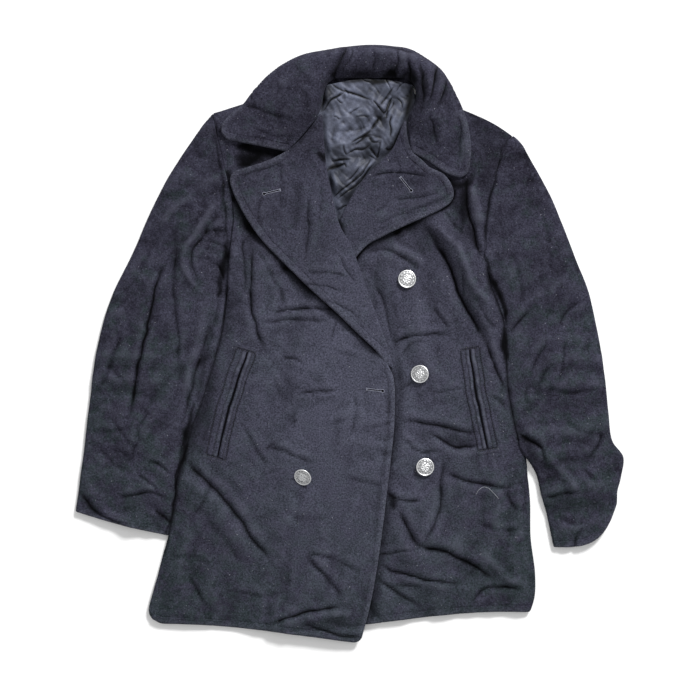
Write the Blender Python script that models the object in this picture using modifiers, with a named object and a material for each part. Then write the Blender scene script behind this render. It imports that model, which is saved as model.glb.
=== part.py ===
"""Double-breasted wool pea coat, laid out flat on its back with its lapels open.

Axes: +X across the coat, +Y from the hem to the collar, +Z up off the surface that it lies on.
Every piece is a wall of cloth lofted through the sections in a table, one row for each section.
Tables are in millimetres on the laying surface, and the objects are made in metres.
"""
import math
from collections import namedtuple

import bpy
import numpy as np

MM = 0.001

# Driving dimensions, in millimetres
MELTON = 2.8          # thickness of one layer of the heavy wool
TURNED = 5.0          # collar and lapels, two layers sewn face to face
SATIN = 1.0           # back lining with its underlay
WELT = 1.8            # pocket welt standing on the front
SEAM_GAP = 0.3        # between pieces that touch
LAY_GAP = 1.5         # between a turned piece and the panel that it lies on
PUFF = 3.5            # how far the top layer stands off the layer under it
EDGE_ROUND = 30.0     # width of the rounding along side seams and sleeve edges
FALL_LIFT = 6.3       # the back rises by this much over the collar fall under it
MIDDLE = (-1.95, 419.89)  # middle of the coat's outline on the tables' own axes

BUTTON_WIDTH = 25.4   # 40-ligne button
BUTTON_HEIGHT = 5.2
SEAT_REACH = 9.0      # span over which a button takes the slope of the cloth

BACK_LEVEL = MELTON / 2
EDGE_LEVEL = MELTON + SEAM_GAP + MELTON / 2
OVER_STEP = MELTON + LAY_GAP
LAPEL_STEP = MELTON / 2 + LAY_GAP + TURNED / 2
LINING_ROOM = 1.3     # between the lining and the back
ROLL_ROUND = 14.0     # breadth of the rounding of a lapel at its roll line
ROLL_DROP = 1.8       # how far a lapel bends down there
FACET_ROOM = 0.4      # extra height of welts and buttons over the faceted panels
ARMHOLE_EASE = 90.0   # how far down a sleeve its cap still follows the armhole
ARMHOLE_SHIFT = 1.4   # distance across the armhole seam, in X
TURN_IN = 9.0         # breadth of the bend where the fall turns under
ARMPIT_Y = {"left": 499.0, "right": 527.0}

# Ramps, each as the two places between which something sets in or fades
LIFT_RISE = (668.0, 742.0)      # Y over which the back rises onto the fall
LIFT_LEFT = (-115.0, -52.0)     # X where that rise sets in
LIFT_RIGHT = (102.0, 165.0)     # X where it fades
CLIMB_FRONT = (-46.0, -8.0)     # before the right front's hidden edge, where the left one climbs
CLIMB_LAPEL = (-52.0, -10.0)    # before the hidden part of the right lapel
LEAVE_LAPEL = (8.0, 46.0)       # past that part
LAPEL_FOOT = (330.0, 372.0)     # Y where the right lapel starts under the left front
NECK_PARTING = (596.0, 622.0)   # Y where the two fronts part at the neck
SHOWN_PAST = (-14.0, 12.0)      # past the left front's edge, where the right front shows its folds
SHOWN_NECK = (700.0, 720.0)     # Y from which all of the right front is clear of the left one

MELTON_NAVY = (0.0130, 0.0140, 0.0200)
SATIN_BLACK = (0.020, 0.022, 0.028)
PEWTER_GREY = (0.42, 0.42, 0.43)

Section = namedtuple("Section", "left_x left_y right_x right_y bow bow_at", defaults=(0.0, 0.5))
Rib = namedtuple("Rib", "neck_x neck_y neck_z out_x out_y out_z crest crest_at tuck end_z")
Fold = namedtuple("Fold", "from_x from_y mid_x mid_y to_x to_y height width")
Pocket = namedtuple("Pocket", "top_x top_y foot_x foot_y bow")
Button = namedtuple("Button", "x y turn")

# Each section runs from the left edge of the piece to its right edge, from the hem upwards.
# bow is how far the section curves off its straight line, and bow_at where it does so most.
FRONT_OVER = [
    Section(-278, 25, 14, -2, 6, 0.4),
    Section(-284, 44, 20, 20, 3, 0.4),
    Section(-278, 70, 28, 52),
    Section(-268, 105, 37, 100),
    Section(-254, 152, 45, 155),
    Section(-244, 200, 51, 205),
    Section(-235, 250, 57, 255),
    Section(-222, 298, 62, 305),
    Section(-207, 345, 63, 345),
    Section(-195, 385, 61, 372),
    Section(-183, 425, 52, 393),
    Section(-178, 452, 40, 430),
    Section(-173, 490, 23, 482),
    Section(-171, 525, 8, 522),
    Section(-168, 562, -10, 564),
    Section(-164, 597, -26, 600),
    Section(-168, 629, -33, 632),
    Section(-176, 663, -39, 668),
    Section(-185, 701, -44, 712),
    Section(-192, 733, -45, 747),
    Section(-193, 746, -43, 779, 2),
]
FRONT_UNDER = [
    Section(-82, 14, 254, 42, 6, 0.7),
    Section(-81, 60, 261, 66),
    Section(-80, 110, 261, 100),
    Section(-78, 160, 255, 148),
    Section(-76, 215, 254, 203),
    Section(-74, 270, 247, 255),
    Section(-72, 320, 232, 307),
    Section(-70, 358, 221, 355),
    Section(-60, 390, 217, 393),
    Section(-44, 440, 209, 440),
    Section(-28, 508, 194, 500),
    Section(-16, 561, 190, 545),
    Section(-6, 592, 191, 583),
    Section(10, 626, 196, 618),
    Section(28, 650, 202, 645),
    Section(52, 673, 208, 670),
    Section(73, 695, 213, 690),
    Section(82, 718, 219, 703),
    Section(87, 748, 225, 709),
    Section(96, 778, 230, 713, 5, 0.7),
]
BACK = [
    Section(-275, 36, 252, 44, -3),
    Section(-277, 66, 260, 68),
    Section(-263, 127, 257, 112),
    Section(-249, 165, 253, 152),
    Section(-244, 208, 252, 206),
    Section(-240, 250, 249, 258),
    Section(-233, 287, 237, 298),
    Section(-224, 311, 229, 322),
    Section(-211, 346, 224, 352),
    Section(-200, 385, 223, 395),
    Section(-187, 420, 218, 440),
    Section(-177, 462, 207, 484),
    Section(-174, 480, 198, 505),
    Section(-172, 500, 189, 526),
    Section(-170, 536, 189, 560),
    Section(-164, 599, 195, 610),
    Section(-172, 645, 205, 658),
    Section(-186, 705, 215, 690),
    Section(-192, 738, 226, 706, 28),
    Section(-193, 746, 230, 713, 56),
]
SLEEVE_LEFT = [
    Section(-194, 746, -176, 500, 18, 0.55),
    Section(-210, 727, -177, 482, 17, 0.55),
    Section(-233, 694, -179, 462, 13, 0.55),
    Section(-257, 655, -184, 438, 8, 0.55),
    Section(-282, 606, -190, 416, 4, 0.55),
    Section(-309, 544, -202, 384),
    Section(-335, 492, -213, 346),
    Section(-350, 445, -226, 311),
    Section(-359, 405, -236, 287),
    Section(-365, 360, -241, 259),
    Section(-371, 313, -244, 232),
    Section(-376, 268, -248, 208),
    Section(-382, 224, -252, 180),
    Section(-388, 182, -257, 148, -2),
]
SLEEVE_RIGHT = [
    Section(192, 527, 231, 713, 8, 0.35),
    Section(195, 517, 245, 699, 6, 0.35),
    Section(200, 506, 262, 668, 3, 0.35),
    Section(210, 486, 282, 630),
    Section(218, 462, 299, 590),
    Section(222, 430, 318, 541),
    Section(225, 390, 337, 492),
    Section(226, 352, 347, 447),
    Section(232, 319, 356, 398),
    Section(241, 292, 362, 352),
    Section(253, 259, 366, 302),
    Section(264, 236, 374, 276),
    Section(270, 212, 384, 254),
    Section(276, 190, 382, 230),
    Section(282, 163, 379, 213, -10),
    Section(289, 132, 376, 198, -25),
]
# The lapels are turned back on the fronts: left and right ends are the free edge and the roll line.
LAPEL_OVER = [
    Section(51, 394, 61, 384),
    Section(37, 411, 55, 410),
    Section(10, 436, 43, 445),
    Section(-20, 465, 28, 486),
    Section(-50, 492, 14, 526),
    Section(-78, 519, 1, 560),
    Section(-103, 544, -12, 582),
    Section(-124, 566, -20, 606),
    Section(-142, 591, -26, 635, -1),
    Section(-156, 615, -32, 662, -3),
    Section(-166, 637, -36, 694, -8, 0.55),
    Section(-172, 661, -40, 746, -19, 0.55),
]
LAPEL_UNDER = [
    Section(-66, 378, -56, 384),
    Section(-51, 440, -40, 440),
    Section(-35, 508, -12, 511),
    Section(-23, 561, 20, 556),
    Section(-14, 594, 48, 573),
    Section(4, 631, 84, 590),
    Section(24, 658, 114, 603, -2),
    Section(47, 681, 138, 616, -6, 0.45),
    Section(64, 701, 146, 627, -13, 0.42),
    Section(79, 738, 148, 636, -20, 0.42),
]
LINING = [
    Section(-34, 545, 2, 540),
    Section(-38, 585, 16, 580),
    Section(-44, 625, 40, 612),
    Section(-50, 665, 72, 652),
    Section(-54, 705, 98, 695),
    Section(-48, 742, 94, 736),
    Section(-38, 766, 89.5, 763),
    Section(-33, 783, 86, 783, 3),
]
# Each rib of the collar runs from the neck seam over the crest of its roll to the outline. Where
# tuck is positive the fall turns under there, by that much; where negative it lies flat on the front.
COLLAR = [
    Rib(-92, 692, 14.0, -180, 709, 13.6, 15.5, 0.50, -18, 13.6),
    Rib(-80, 703, 14.0, -181, 728, 13.4, 16.0, 0.45, -18, 13.4),
    Rib(-69, 715, 14.0, -168, 744, 12.5, 17.5, 0.40, -18, 12.5),
    Rib(-58, 728, 14.0, -151, 758, 12.0, 20.0, 0.34, -14, 11.0),
    Rib(-48, 741, 14.0, -137, 777, 11.0, 23.0, 0.26, 3, 7.0),
    Rib(-42, 757, 13.0, -118, 798, 10.0, 25.0, 0.20, 20, 3.8),
    Rib(-39, 774, 12.0, -94, 816, 10.0, 25.0, 0.22, 36, 3.2),
    Rib(-34, 787, 8.0, -66, 829, 10.5, 23.0, 0.32, 54, 3.0),
    Rib(-22, 796, 6.5, -35, 835, 11.0, 21.0, 0.55, 72, 3.0),
    Rib(-6, 797, 6.5, -8, 839, 11.0, 20.0, 0.64, 80, 3.0),
    Rib(24, 797, 6.5, 27, 842, 11.0, 20.0, 0.66, 84, 3.0),
    Rib(56, 797, 6.5, 64, 840, 11.0, 21.0, 0.60, 80, 3.0),
    Rib(76, 797, 6.5, 90, 834, 11.0, 23.0, 0.48, 70, 3.0),
    Rib(90, 788, 8.0, 124, 812, 10.5, 26.0, 0.34, 42, 3.0),
    Rib(95, 772, 12.0, 140, 792, 10.0, 27.0, 0.30, 22, 3.8),
    Rib(92, 757, 13.0, 151, 770, 10.5, 26.0, 0.28, 2, 8.0),
    Rib(86, 742, 14.0, 159, 750, 12.5, 24.0, 0.28, -14, 12.0),
    Rib(84, 728, 14.0, 167, 725, 13.0, 20.0, 0.34, -18, 13.0),
    Rib(86, 713, 14.0, 171, 697, 13.4, 17.0, 0.42, -18, 13.4),
    Rib(87, 700, 14.0, 170, 677, 13.6, 15.8, 0.50, -18, 13.6),
    Rib(90, 689, 14.0, 166, 657, 13.6, 15.5, 0.50, -18, 13.6),
]
# Ridges have a positive height and troughs a negative one; width is half of the fold's breadth.
FOLDS_OVER = [
    Fold(-245, 236, -196, 190, -116, 92, 6.0, 17),
    Fold(-236, 268, -180, 216, -100, 112, -2.5, 14),
    Fold(-168, 600, -164, 540, -172, 470, 5.5, 16),
    Fold(-134, 560, -133, 480, -112, 408, 4.5, 18),
    Fold(-110, 448, -60, 462, -20, 440, 3.0, 18),
    Fold(-104, 262, -70, 262, -30, 244, 4.0, 17),
    Fold(-62, 132, -20, 92, 20, 84, 4.5, 18),
    Fold(-110, 34, -40, 34, 14, 42, 5.5, 16),
]
FOLDS_UNDER = [
    Fold(98, 606, 166, 528, 206, 446, 8.5, 17),
    Fold(92, 590, 148, 500, 198, 412, -2.5, 14),
    Fold(172, 650, 168, 600, 184, 548, 4.5, 15),
    Fold(68, 324, 126, 314, 186, 298, 4.5, 17),
    Fold(126, 270, 166, 248, 240, 224, 4.5, 18),
    Fold(70, 214, 124, 144, 216, 96, 6.0, 18),
    Fold(60, 170, 96, 112, 190, 62, 4.0, 18),
    Fold(52, 432, 96, 446, 140, 442, 3.5, 17),
]
FOLDS_SLEEVE_LEFT = [
    Fold(-252, 560, -278, 470, -304, 350, 6.5, 17),
    Fold(-234, 580, -244, 480, -252, 380, 4.5, 15),
    Fold(-186, 620, -224, 574, -222, 506, 6.5, 17),
    Fold(-284, 340, -302, 310, -312, 262, 4.0, 17),
    Fold(-330, 222, -290, 214, -258, 196, 4.5, 17),
    Fold(-362, 208, -340, 190, -300, 176, -2.5, 15),
    Fold(-322, 430, -336, 392, -352, 352, 3.5, 17),
]
FOLDS_SLEEVE_RIGHT = [
    Fold(232, 446, 250, 470, 290, 488, 4.5, 17),
    Fold(296, 452, 282, 404, 270, 352, 4.5, 17),
    Fold(268, 358, 304, 362, 350, 362, 3.5, 17),
    Fold(240, 294, 272, 268, 306, 238, 6.5, 17),
    Fold(290, 216, 322, 226, 356, 262, 5.0, 18),
]
FOLDS_LINING = [
    Fold(-28, 660, 10, 675, 52, 720, 3.0, 12),
    Fold(-16, 720, 24, 742, 62, 762, 2.6, 12),
    Fold(-20, 612, -2, 632, 26, 648, 2.6, 11),
    Fold(60, 762, 56, 720, 24, 690, 2.6, 12),
]

POCKETS = {
    "left": Pocket(-145, 403, -186, 264, 3.0),
    "right": Pocket(170, 413, 194, 281, 4.0),
}
POCKET_WELTS = {"front": 7.0, "side": -10.5}  # offset of each welt's middle from the slit
WELT_WIDTHS = {"front": 8.5, "side": 15.0}

BUTTONS = {
    "button_top": Button(80.4, 512, 8),
    "button_middle": Button(98.7, 378, -6),
    "button_lower": Button(105.8, 247, 12),
    "button_over": Button(-65.4, 234, 20),
}

# Share of the button's radius and share of its height, from the middle of the face to the shank
BUTTON_PROFILE = [
    (0.0, 0.84), (0.45, 0.80), (0.74, 0.66), (0.80, 0.66), (0.86, 0.88), (0.94, 0.88),
    (1.0, 0.70), (1.0, 0.52), (0.92, 0.40), (0.36, 0.36), (0.28, 0.0), (0.0, 0.0),
]

# Cells across and along each piece
CELLS = {
    "back": (8, 32),
    "front": (17, 29),
    "sleeve_top": (10, 24),
    "sleeve_under": (4, 26),
    "lapel_over": (8, 22),
    "lapel_under": (7, 16),
    "lining": (9, 14),
    "collar": (11, 44),
    "welt": (2, 9),
}


def eased(low, high, value):
    """0 below low, 1 above high, and a smooth rise between them."""
    t = np.clip((value - low) / (high - low), 0.0, 1.0)
    return t * t * (3.0 - 2.0 * t)


def through_rows(rows, places):
    """Smooth curve through the rows of a table, read at fractional row numbers."""
    rows = np.asarray(rows, dtype=float)
    last = len(rows) - 1
    start = np.clip(np.floor(places).astype(int), 0, last - 1)
    t = (places - start)[:, None]
    before, first = rows[np.maximum(start - 1, 0)], rows[start]
    second, after = rows[start + 1], rows[np.minimum(start + 2, last)]
    slope_first = (second - before) / 2
    slope_second = (after - first) / 2
    return ((2 * t**3 - 3 * t**2 + 1) * first + (t**3 - 2 * t**2 + t) * slope_first
            + (3 * t**2 - 2 * t**3) * second + (t**3 - t**2) * slope_second)


def even_places(rows, count):
    """Fractional row numbers that divide the length of a table's piece evenly."""
    rows = np.asarray(rows, dtype=float)
    steps = np.hypot(np.diff(rows[:, 0]), np.diff(rows[:, 1]))
    steps = steps + np.hypot(np.diff(rows[:, 2]), np.diff(rows[:, 3]))
    steps = steps + 2 * np.abs(np.diff(rows[:, 4]))
    run = np.concatenate([[0.0], np.cumsum(steps)])
    return np.interp(np.linspace(0.0, run[-1], count), run, np.arange(len(rows)))


def plan_grid(sections, cells):
    """Points of a piece on the laying surface, one line of them for each section."""
    across, along = cells
    rows = through_rows(sections, even_places(sections, along + 1))
    left, right, bow, bow_at = rows[:, None, 0:2], rows[:, None, 2:4], rows[:, 4:5], rows[:, 5:6]
    u = np.linspace(0.0, 1.0, across + 1)[None, :]
    line = left + (right - left) * u[:, :, None]
    run = (right - left)[:, 0]
    side = np.stack([-run[:, 1], run[:, 0]], axis=1) / np.hypot(run[:, 0], run[:, 1])[:, None]
    swell = np.sin(math.pi * u ** (math.log(0.5) / np.log(bow_at)))
    return line + side[:, None, :] * (bow * swell)[:, :, None]


def distance_to(x, y, line):
    """Distance to a line of points, and where along it the nearest spot is, from 0 to 1."""
    nearest = np.full(x.shape, 1e9)
    where = np.zeros(x.shape)
    for i, ((ax, ay), (bx, by)) in enumerate(zip(line[:-1], line[1:])):
        length = (bx - ax) ** 2 + (by - ay) ** 2
        t = np.clip(((x - ax) * (bx - ax) + (y - ay) * (by - ay)) / length, 0.0, 1.0)
        gap = np.hypot(x - ax - t * (bx - ax), y - ay - t * (by - ay))
        closer = gap < nearest
        nearest = np.where(closer, gap, nearest)
        where = np.where(closer, (i + t) / (len(line) - 1), where)
    return nearest, where


def fold_height(x, y, folds, pieces=8):
    """Sum of the ridges and troughs at each point, each fading out towards its two ends."""
    height = np.zeros(x.shape)
    for fold in folds:
        t = np.linspace(0.0, 1.0, pieces + 1)[:, None]
        start = np.array([fold.from_x, fold.from_y], dtype=float)
        end = np.array([fold.to_x, fold.to_y], dtype=float)
        control = 2 * np.array([fold.mid_x, fold.mid_y]) - (start + end) / 2
        line = (1 - t) ** 2 * start + 2 * t * (1 - t) * control + t**2 * end
        gap, where = distance_to(x, y, line)
        height += fold.height * np.exp(-((gap / fold.width) ** 2)) * np.sin(math.pi * where) ** 0.7
    return height


def edge_rounding(x, y, edges):
    """0 on the outer edges and 1 once EDGE_ROUND inside them, along a quarter of an ellipse."""
    gap = np.full(x.shape, 1e9)
    for edge in edges:
        gap = np.minimum(gap, distance_to(x, y, edge)[0])
    return np.sqrt(1.0 - (1.0 - np.clip(gap / EDGE_ROUND, 0.0, 1.0)) ** 2)


def left_ends(sections):
    return [(s.left_x, s.left_y) for s in sections]


def right_ends(sections):
    return [(s.right_x, s.right_y) for s in sections]


def ends_of(section):
    return [(section.left_x, section.left_y), (section.right_x, section.right_y)]


BODY_EDGES = [
    left_ends(FRONT_OVER[:13]),
    right_ends(FRONT_UNDER[:11]),
    ends_of(FRONT_OVER[-1]),
    ends_of(FRONT_UNDER[-1]),
    ends_of(FRONT_OVER[0]),
    ends_of(FRONT_UNDER[0]),
]


def fall_lift(x, y):
    """Rise of everything that lies over the collar's fall, behind the neck."""
    window = eased(*LIFT_LEFT, x) * (1 - eased(*LIFT_RIGHT, x))
    return FALL_LIFT * eased(*LIFT_RISE, y) * window


def body_level(x, y):
    return EDGE_LEVEL + PUFF * edge_rounding(x, y, BODY_EDGES) + fall_lift(x, y)


def back_level(x, y):
    return BACK_LEVEL + fall_lift(x, y)


def lining_level(x, y):
    return MELTON + LINING_ROOM + SATIN / 2 + fall_lift(x, y) + fold_height(x, y, FOLDS_LINING)


def edge_x(sections, side, y):
    """X of a piece's left or right edge at each Y."""
    ends = left_ends(sections) if side == "left" else right_ends(sections)
    return np.interp(y, [end[1] for end in ends], [end[0] for end in ends])


def under_level(x, y):
    """The right front, plain where the left front hides it."""
    shown = eased(*SHOWN_PAST, x - edge_x(FRONT_OVER, "right", y))
    shown = np.maximum(shown, eased(*SHOWN_NECK, y))
    return body_level(x, y) + fold_height(x, y, FOLDS_UNDER) * shown


def over_level(x, y):
    """The left front, which climbs over the right front and over its lapel."""
    level = body_level(x, y) + fold_height(x, y, FOLDS_OVER)
    together = 1 - eased(*NECK_PARTING, y)
    on_under = together * eased(*CLIMB_FRONT, x - edge_x(FRONT_UNDER, "left", y))
    on_lapel = together * eased(*CLIMB_LAPEL, x - edge_x(LAPEL_UNDER, "left", y))
    on_lapel = on_lapel * (1 - eased(*LEAVE_LAPEL, x - edge_x(LAPEL_UNDER, "right", y)))
    on_lapel = on_lapel * eased(*LAPEL_FOOT, y)
    stacked = under_level(x, y) + OVER_STEP + (TURNED + LAY_GAP) * on_lapel
    return level + np.maximum(stacked - level, 0.0) * on_under


def sleeve_level(sections, folds):
    """Level of the upper half of a sleeve, low along its two folded edges."""
    edges = [left_ends(sections), right_ends(sections)]

    def level(x, y):
        return EDGE_LEVEL + PUFF * edge_rounding(x, y, edges) + fold_height(x, y, folds)

    return level


def turned_level(level, sections, roll_side):
    """A lapel's level: on its front, and bent down round the front's edge at the roll line."""
    roll = right_ends(sections) if roll_side == "right" else left_ends(sections)

    def lapel(x, y):
        gap, _ = distance_to(x, y, roll)
        drop = 1.0 - np.sqrt(1.0 - (1.0 - np.clip(gap / ROLL_ROUND, 0.0, 1.0)) ** 2)
        return level(x, y) + LAPEL_STEP - ROLL_DROP * drop

    return lapel


def material(name, colour, roughness, metallic=0.0):
    """A Principled material with one colour, given as linear red, green and blue."""
    made = bpy.data.materials.new(name)
    made.use_nodes = True
    shader = made.node_tree.nodes["Principled BSDF"]
    shader.inputs["Base Color"].default_value = (*colour, 1.0)
    shader.inputs["Roughness"].default_value = roughness
    shader.inputs["Metallic"].default_value = metallic
    return made


def add_object(name, mesh, finish, parent, location=(0.0, 0.0, 0.0)):
    """Put a mesh in the coat's collection under the coat's empty."""
    piece = bpy.data.objects.new(name, mesh)
    mesh.materials.append(finish)
    mesh.shade_smooth()
    piece.location = location
    piece.parent = parent
    parent.users_collection[0].objects.link(piece)
    return piece


def add_wall(name, points, thickness, finish, parent):
    """A wall of cloth on a grid of points, with the points in its middle."""
    rows, columns = points.shape[:2]
    faces = []
    for j in range(rows - 1):
        for i in range(columns - 1):
            corner = j * columns + i
            faces.append((corner, corner + 1, corner + columns + 1, corner + columns))
    mesh = bpy.data.meshes.new(name)
    mesh.from_pydata((points.reshape(-1, 3) * MM).tolist(), [], faces)
    piece = add_object(name, mesh, finish, parent)
    wall = piece.modifiers.new("Wall", "SOLIDIFY")
    wall.thickness = thickness * MM
    wall.offset = 0.0
    return piece


def armhole(sections, side, count):
    """Even points down a body panel's armhole, from the shoulder to the armpit."""
    heights = [s.left_y if side == "left" else s.right_y for s in sections]
    armpit_row = np.interp(ARMPIT_Y[side], heights, np.arange(len(sections)))
    rows = through_rows(sections, np.linspace(len(sections) - 1, armpit_row, 60))
    line = rows[:, 0:2] if side == "left" else rows[:, 2:4]
    line = line + np.array([-ARMHOLE_SHIFT if side == "left" else ARMHOLE_SHIFT, 0.0])
    run = np.concatenate([[0.0], np.cumsum(np.hypot(*np.diff(line, axis=0).T))])
    even = np.linspace(0.0, run[-1], count)
    return np.stack([np.interp(even, run, line[:, 0]), np.interp(even, run, line[:, 1])], axis=1)


def set_in(plan, body, side):
    """Fit the head of a sleeve's grid to the armhole of the body panel that it is sewn to."""
    seam = armhole(body, side, plan.shape[1])
    if side == "right":
        seam = seam[::-1]
    middle = plan[:, plan.shape[1] // 2]
    run = np.concatenate([[0.0], np.cumsum(np.hypot(*np.diff(middle, axis=0).T))])
    share = 1.0 - eased(0.0, ARMHOLE_EASE, run)
    return plan + (seam - plan[0])[None, :, :] * share[:, None, None]


def panel_points(sections, cells, level, body=None, side=None):
    """A piece's grid on the laying surface, raised to its level."""
    plan = plan_grid(sections, cells)
    if body is not None:
        plan = set_in(plan, body, side)
    height = level(plan[:, :, 0], plan[:, :, 1])
    return np.concatenate([plan, height[:, :, None]], axis=2)


def rib_points(rib, count):
    """One section of the collar, from the neck seam over the roll to the edge of the fall."""
    neck = np.array([rib.neck_x, rib.neck_y])
    run = np.array([rib.out_x, rib.out_y]) - neck
    turned = eased(-10.0, 8.0, rib.tuck)
    run = run * (1.0 - turned * TURNED / 2 / np.hypot(*run))
    width = np.hypot(*run)
    turn = width + min(rib.tuck, 0.0)
    end = width - max(rib.tuck, 0.0)
    top = rib.crest_at * width
    rise, fall = rib.crest - rib.neck_z, rib.crest - rib.out_z
    # Distance from the neck seam, height, and share of the rise over the fall
    outline = np.array([
        (0.0, rib.neck_z, 1.0),
        (top * 0.30, rib.neck_z + rise * 0.72, 1.0),
        (top, rib.crest, 1.0),
        (top + (turn - top) * 0.45, rib.crest - fall * 0.30, 1.0),
        (top + (turn - top) * 0.80, rib.crest - fall * 0.72, 1.0 - turned * 0.5),
        (turn, rib.out_z - (rib.out_z - rib.end_z) / 2 * turned, 1.0 - turned),
        ((turn + end) / 2 * (1 - turned) + (turn - TURN_IN) * turned, rib.end_z, 1.0 - turned),
        (end, rib.end_z, 1.0 - turned),
    ])
    outline = through_rows(outline, np.linspace(0.0, len(outline) - 1, count))
    plan = neck + run / width * outline[:, 0:1]
    height = outline[:, 1] + fall_lift(plan[:, 0], plan[:, 1]) * outline[:, 2]
    return np.concatenate([plan, height[:, None]], axis=1)


def collar_points(cells):
    across, along = cells
    places = even_places([(r.neck_x, r.neck_y, r.out_x, r.out_y, 0.0) for r in COLLAR], along + 1)
    ribs = [Rib(*row) for row in through_rows(COLLAR, places)]
    return np.array([rib_points(rib, across + 1) for rib in ribs])


def pocket_strip(pocket, offset, width, cells, level):
    """A strip of cloth beside the slit of a pocket, lying on the front's surface."""
    across, along = cells
    t = np.linspace(0.0, 1.0, along + 1)[:, None]
    top = np.array([pocket.top_x, pocket.top_y], dtype=float)
    foot = np.array([pocket.foot_x, pocket.foot_y], dtype=float)
    run = (foot - top) / np.hypot(*(foot - top))
    side = np.array([-run[1], run[0]])
    slit = top + (foot - top) * t + side * pocket.bow * np.sin(math.pi * t)
    reach = offset + np.linspace(-width / 2, width / 2, across + 1)[None, :, None]
    plan = slit[:, None, :] + side * reach
    height = level(plan[:, :, 0], plan[:, :, 1]) + MELTON / 2 + SEAM_GAP + WELT / 2 + FACET_ROOM
    return np.concatenate([plan, height[:, :, None]], axis=2)


def add_button(name, button, level, finish, parent):
    """A turned metal button on its shank, level with the cloth under it."""
    radius, height = BUTTON_WIDTH / 2, BUTTON_HEIGHT
    profile = [(r * radius * MM, 0.0, z * height * MM) for r, z in BUTTON_PROFILE]
    mesh = bpy.data.meshes.new(name)
    mesh.from_pydata(profile, [(i, i + 1) for i in range(len(profile) - 1)], [])
    spots = SEAT_REACH * np.array([(-1, 0), (1, 0), (0, -1), (0, 1), (0, 0)])
    levels = level(button.x + spots[:, 0], button.y + spots[:, 1])
    lean_x = (levels[1] - levels[0]) / (2 * SEAT_REACH)
    lean_y = (levels[3] - levels[2]) / (2 * SEAT_REACH)
    seat = levels[4] + MELTON / 2 + SEAM_GAP + FACET_ROOM / 2
    piece = add_object(name, mesh, finish, parent, (button.x * MM, button.y * MM, seat * MM))
    piece.rotation_euler = (math.atan(lean_y), -math.atan(lean_x), math.radians(button.turn))
    turning = piece.modifiers.new("Turning", "SCREW")
    turning.steps = turning.render_steps = 14
    turning.use_merge_vertices = True
    turning.merge_threshold = 0.00001
    return piece


def build():
    for thing in list(bpy.data.objects):
        bpy.data.objects.remove(thing, do_unlink=True)
    collection = bpy.data.collections.new("pea_coat")
    bpy.context.scene.collection.children.link(collection)
    coat = bpy.data.objects.new("coat_origin", None)
    coat.location = (-MIDDLE[0] * MM, -MIDDLE[1] * MM, 0.0)
    collection.objects.link(coat)

    panels = [
        ("back", BACK, "back", back_level, MELTON),
        ("front_over", FRONT_OVER, "front", over_level, MELTON),
        ("front_under", FRONT_UNDER, "front", under_level, MELTON),
        ("lapel_over", LAPEL_OVER, "lapel_over",
         turned_level(over_level, LAPEL_OVER, "right"), TURNED),
        ("lapel_under", LAPEL_UNDER, "lapel_under",
         turned_level(under_level, LAPEL_UNDER, "left"), TURNED),
    ]
    for name, sections, cells, level, thickness in panels:
        points = panel_points(sections, CELLS[cells], level)
        add_wall(name, points, thickness, material(name + "_melton", MELTON_NAVY, 0.95), coat)

    sleeves = [
        ("left", SLEEVE_LEFT, FOLDS_SLEEVE_LEFT, FRONT_OVER),
        ("right", SLEEVE_RIGHT, FOLDS_SLEEVE_RIGHT, FRONT_UNDER),
    ]
    for side, sections, folds, front in sleeves:
        top = panel_points(sections, CELLS["sleeve_top"], sleeve_level(sections, folds), front, side)
        under = panel_points(sections, CELLS["sleeve_under"], back_level, BACK, side)
        for half, points in (("top", top), ("under", under)):
            name = f"sleeve_{side}_{half}"
            add_wall(name, points, MELTON, material(name + "_melton", MELTON_NAVY, 0.95), coat)

    satin = material("satin_lining", SATIN_BLACK, 0.42)
    add_wall("lining", panel_points(LINING, CELLS["lining"], lining_level), SATIN, satin, coat)
    collar = collar_points(CELLS["collar"])
    add_wall("collar", collar, TURNED, material("collar_melton", MELTON_NAVY, 0.95), coat)

    fronts = {"left": over_level, "right": under_level}
    for side, pocket in POCKETS.items():
        outward = 1.0 if side == "left" else -1.0
        for welt, offset in POCKET_WELTS.items():
            name = f"pocket_{side}_{welt}_welt"
            points = pocket_strip(pocket, offset * outward, WELT_WIDTHS[welt], CELLS["welt"],
                                  fronts[side])
            add_wall(name, points, WELT, material(name + "_melton", MELTON_NAVY, 0.95), coat)

    for name, button in BUTTONS.items():
        level = over_level if name == "button_over" else under_level
        pewter = material(name + "_pewter", PEWTER_GREY, 0.35, 1.0)
        add_button(name, button, level, pewter, coat)


build()
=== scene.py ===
"""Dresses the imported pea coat: fine cloth over every solid, its creases, seams, stitching and buttons.

Tables are in millimetres on the laying surface, with the coat's hem at the bottom and its left
front, which buttons over, on the left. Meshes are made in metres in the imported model's own frame.
"""
import math
from collections import namedtuple

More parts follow.
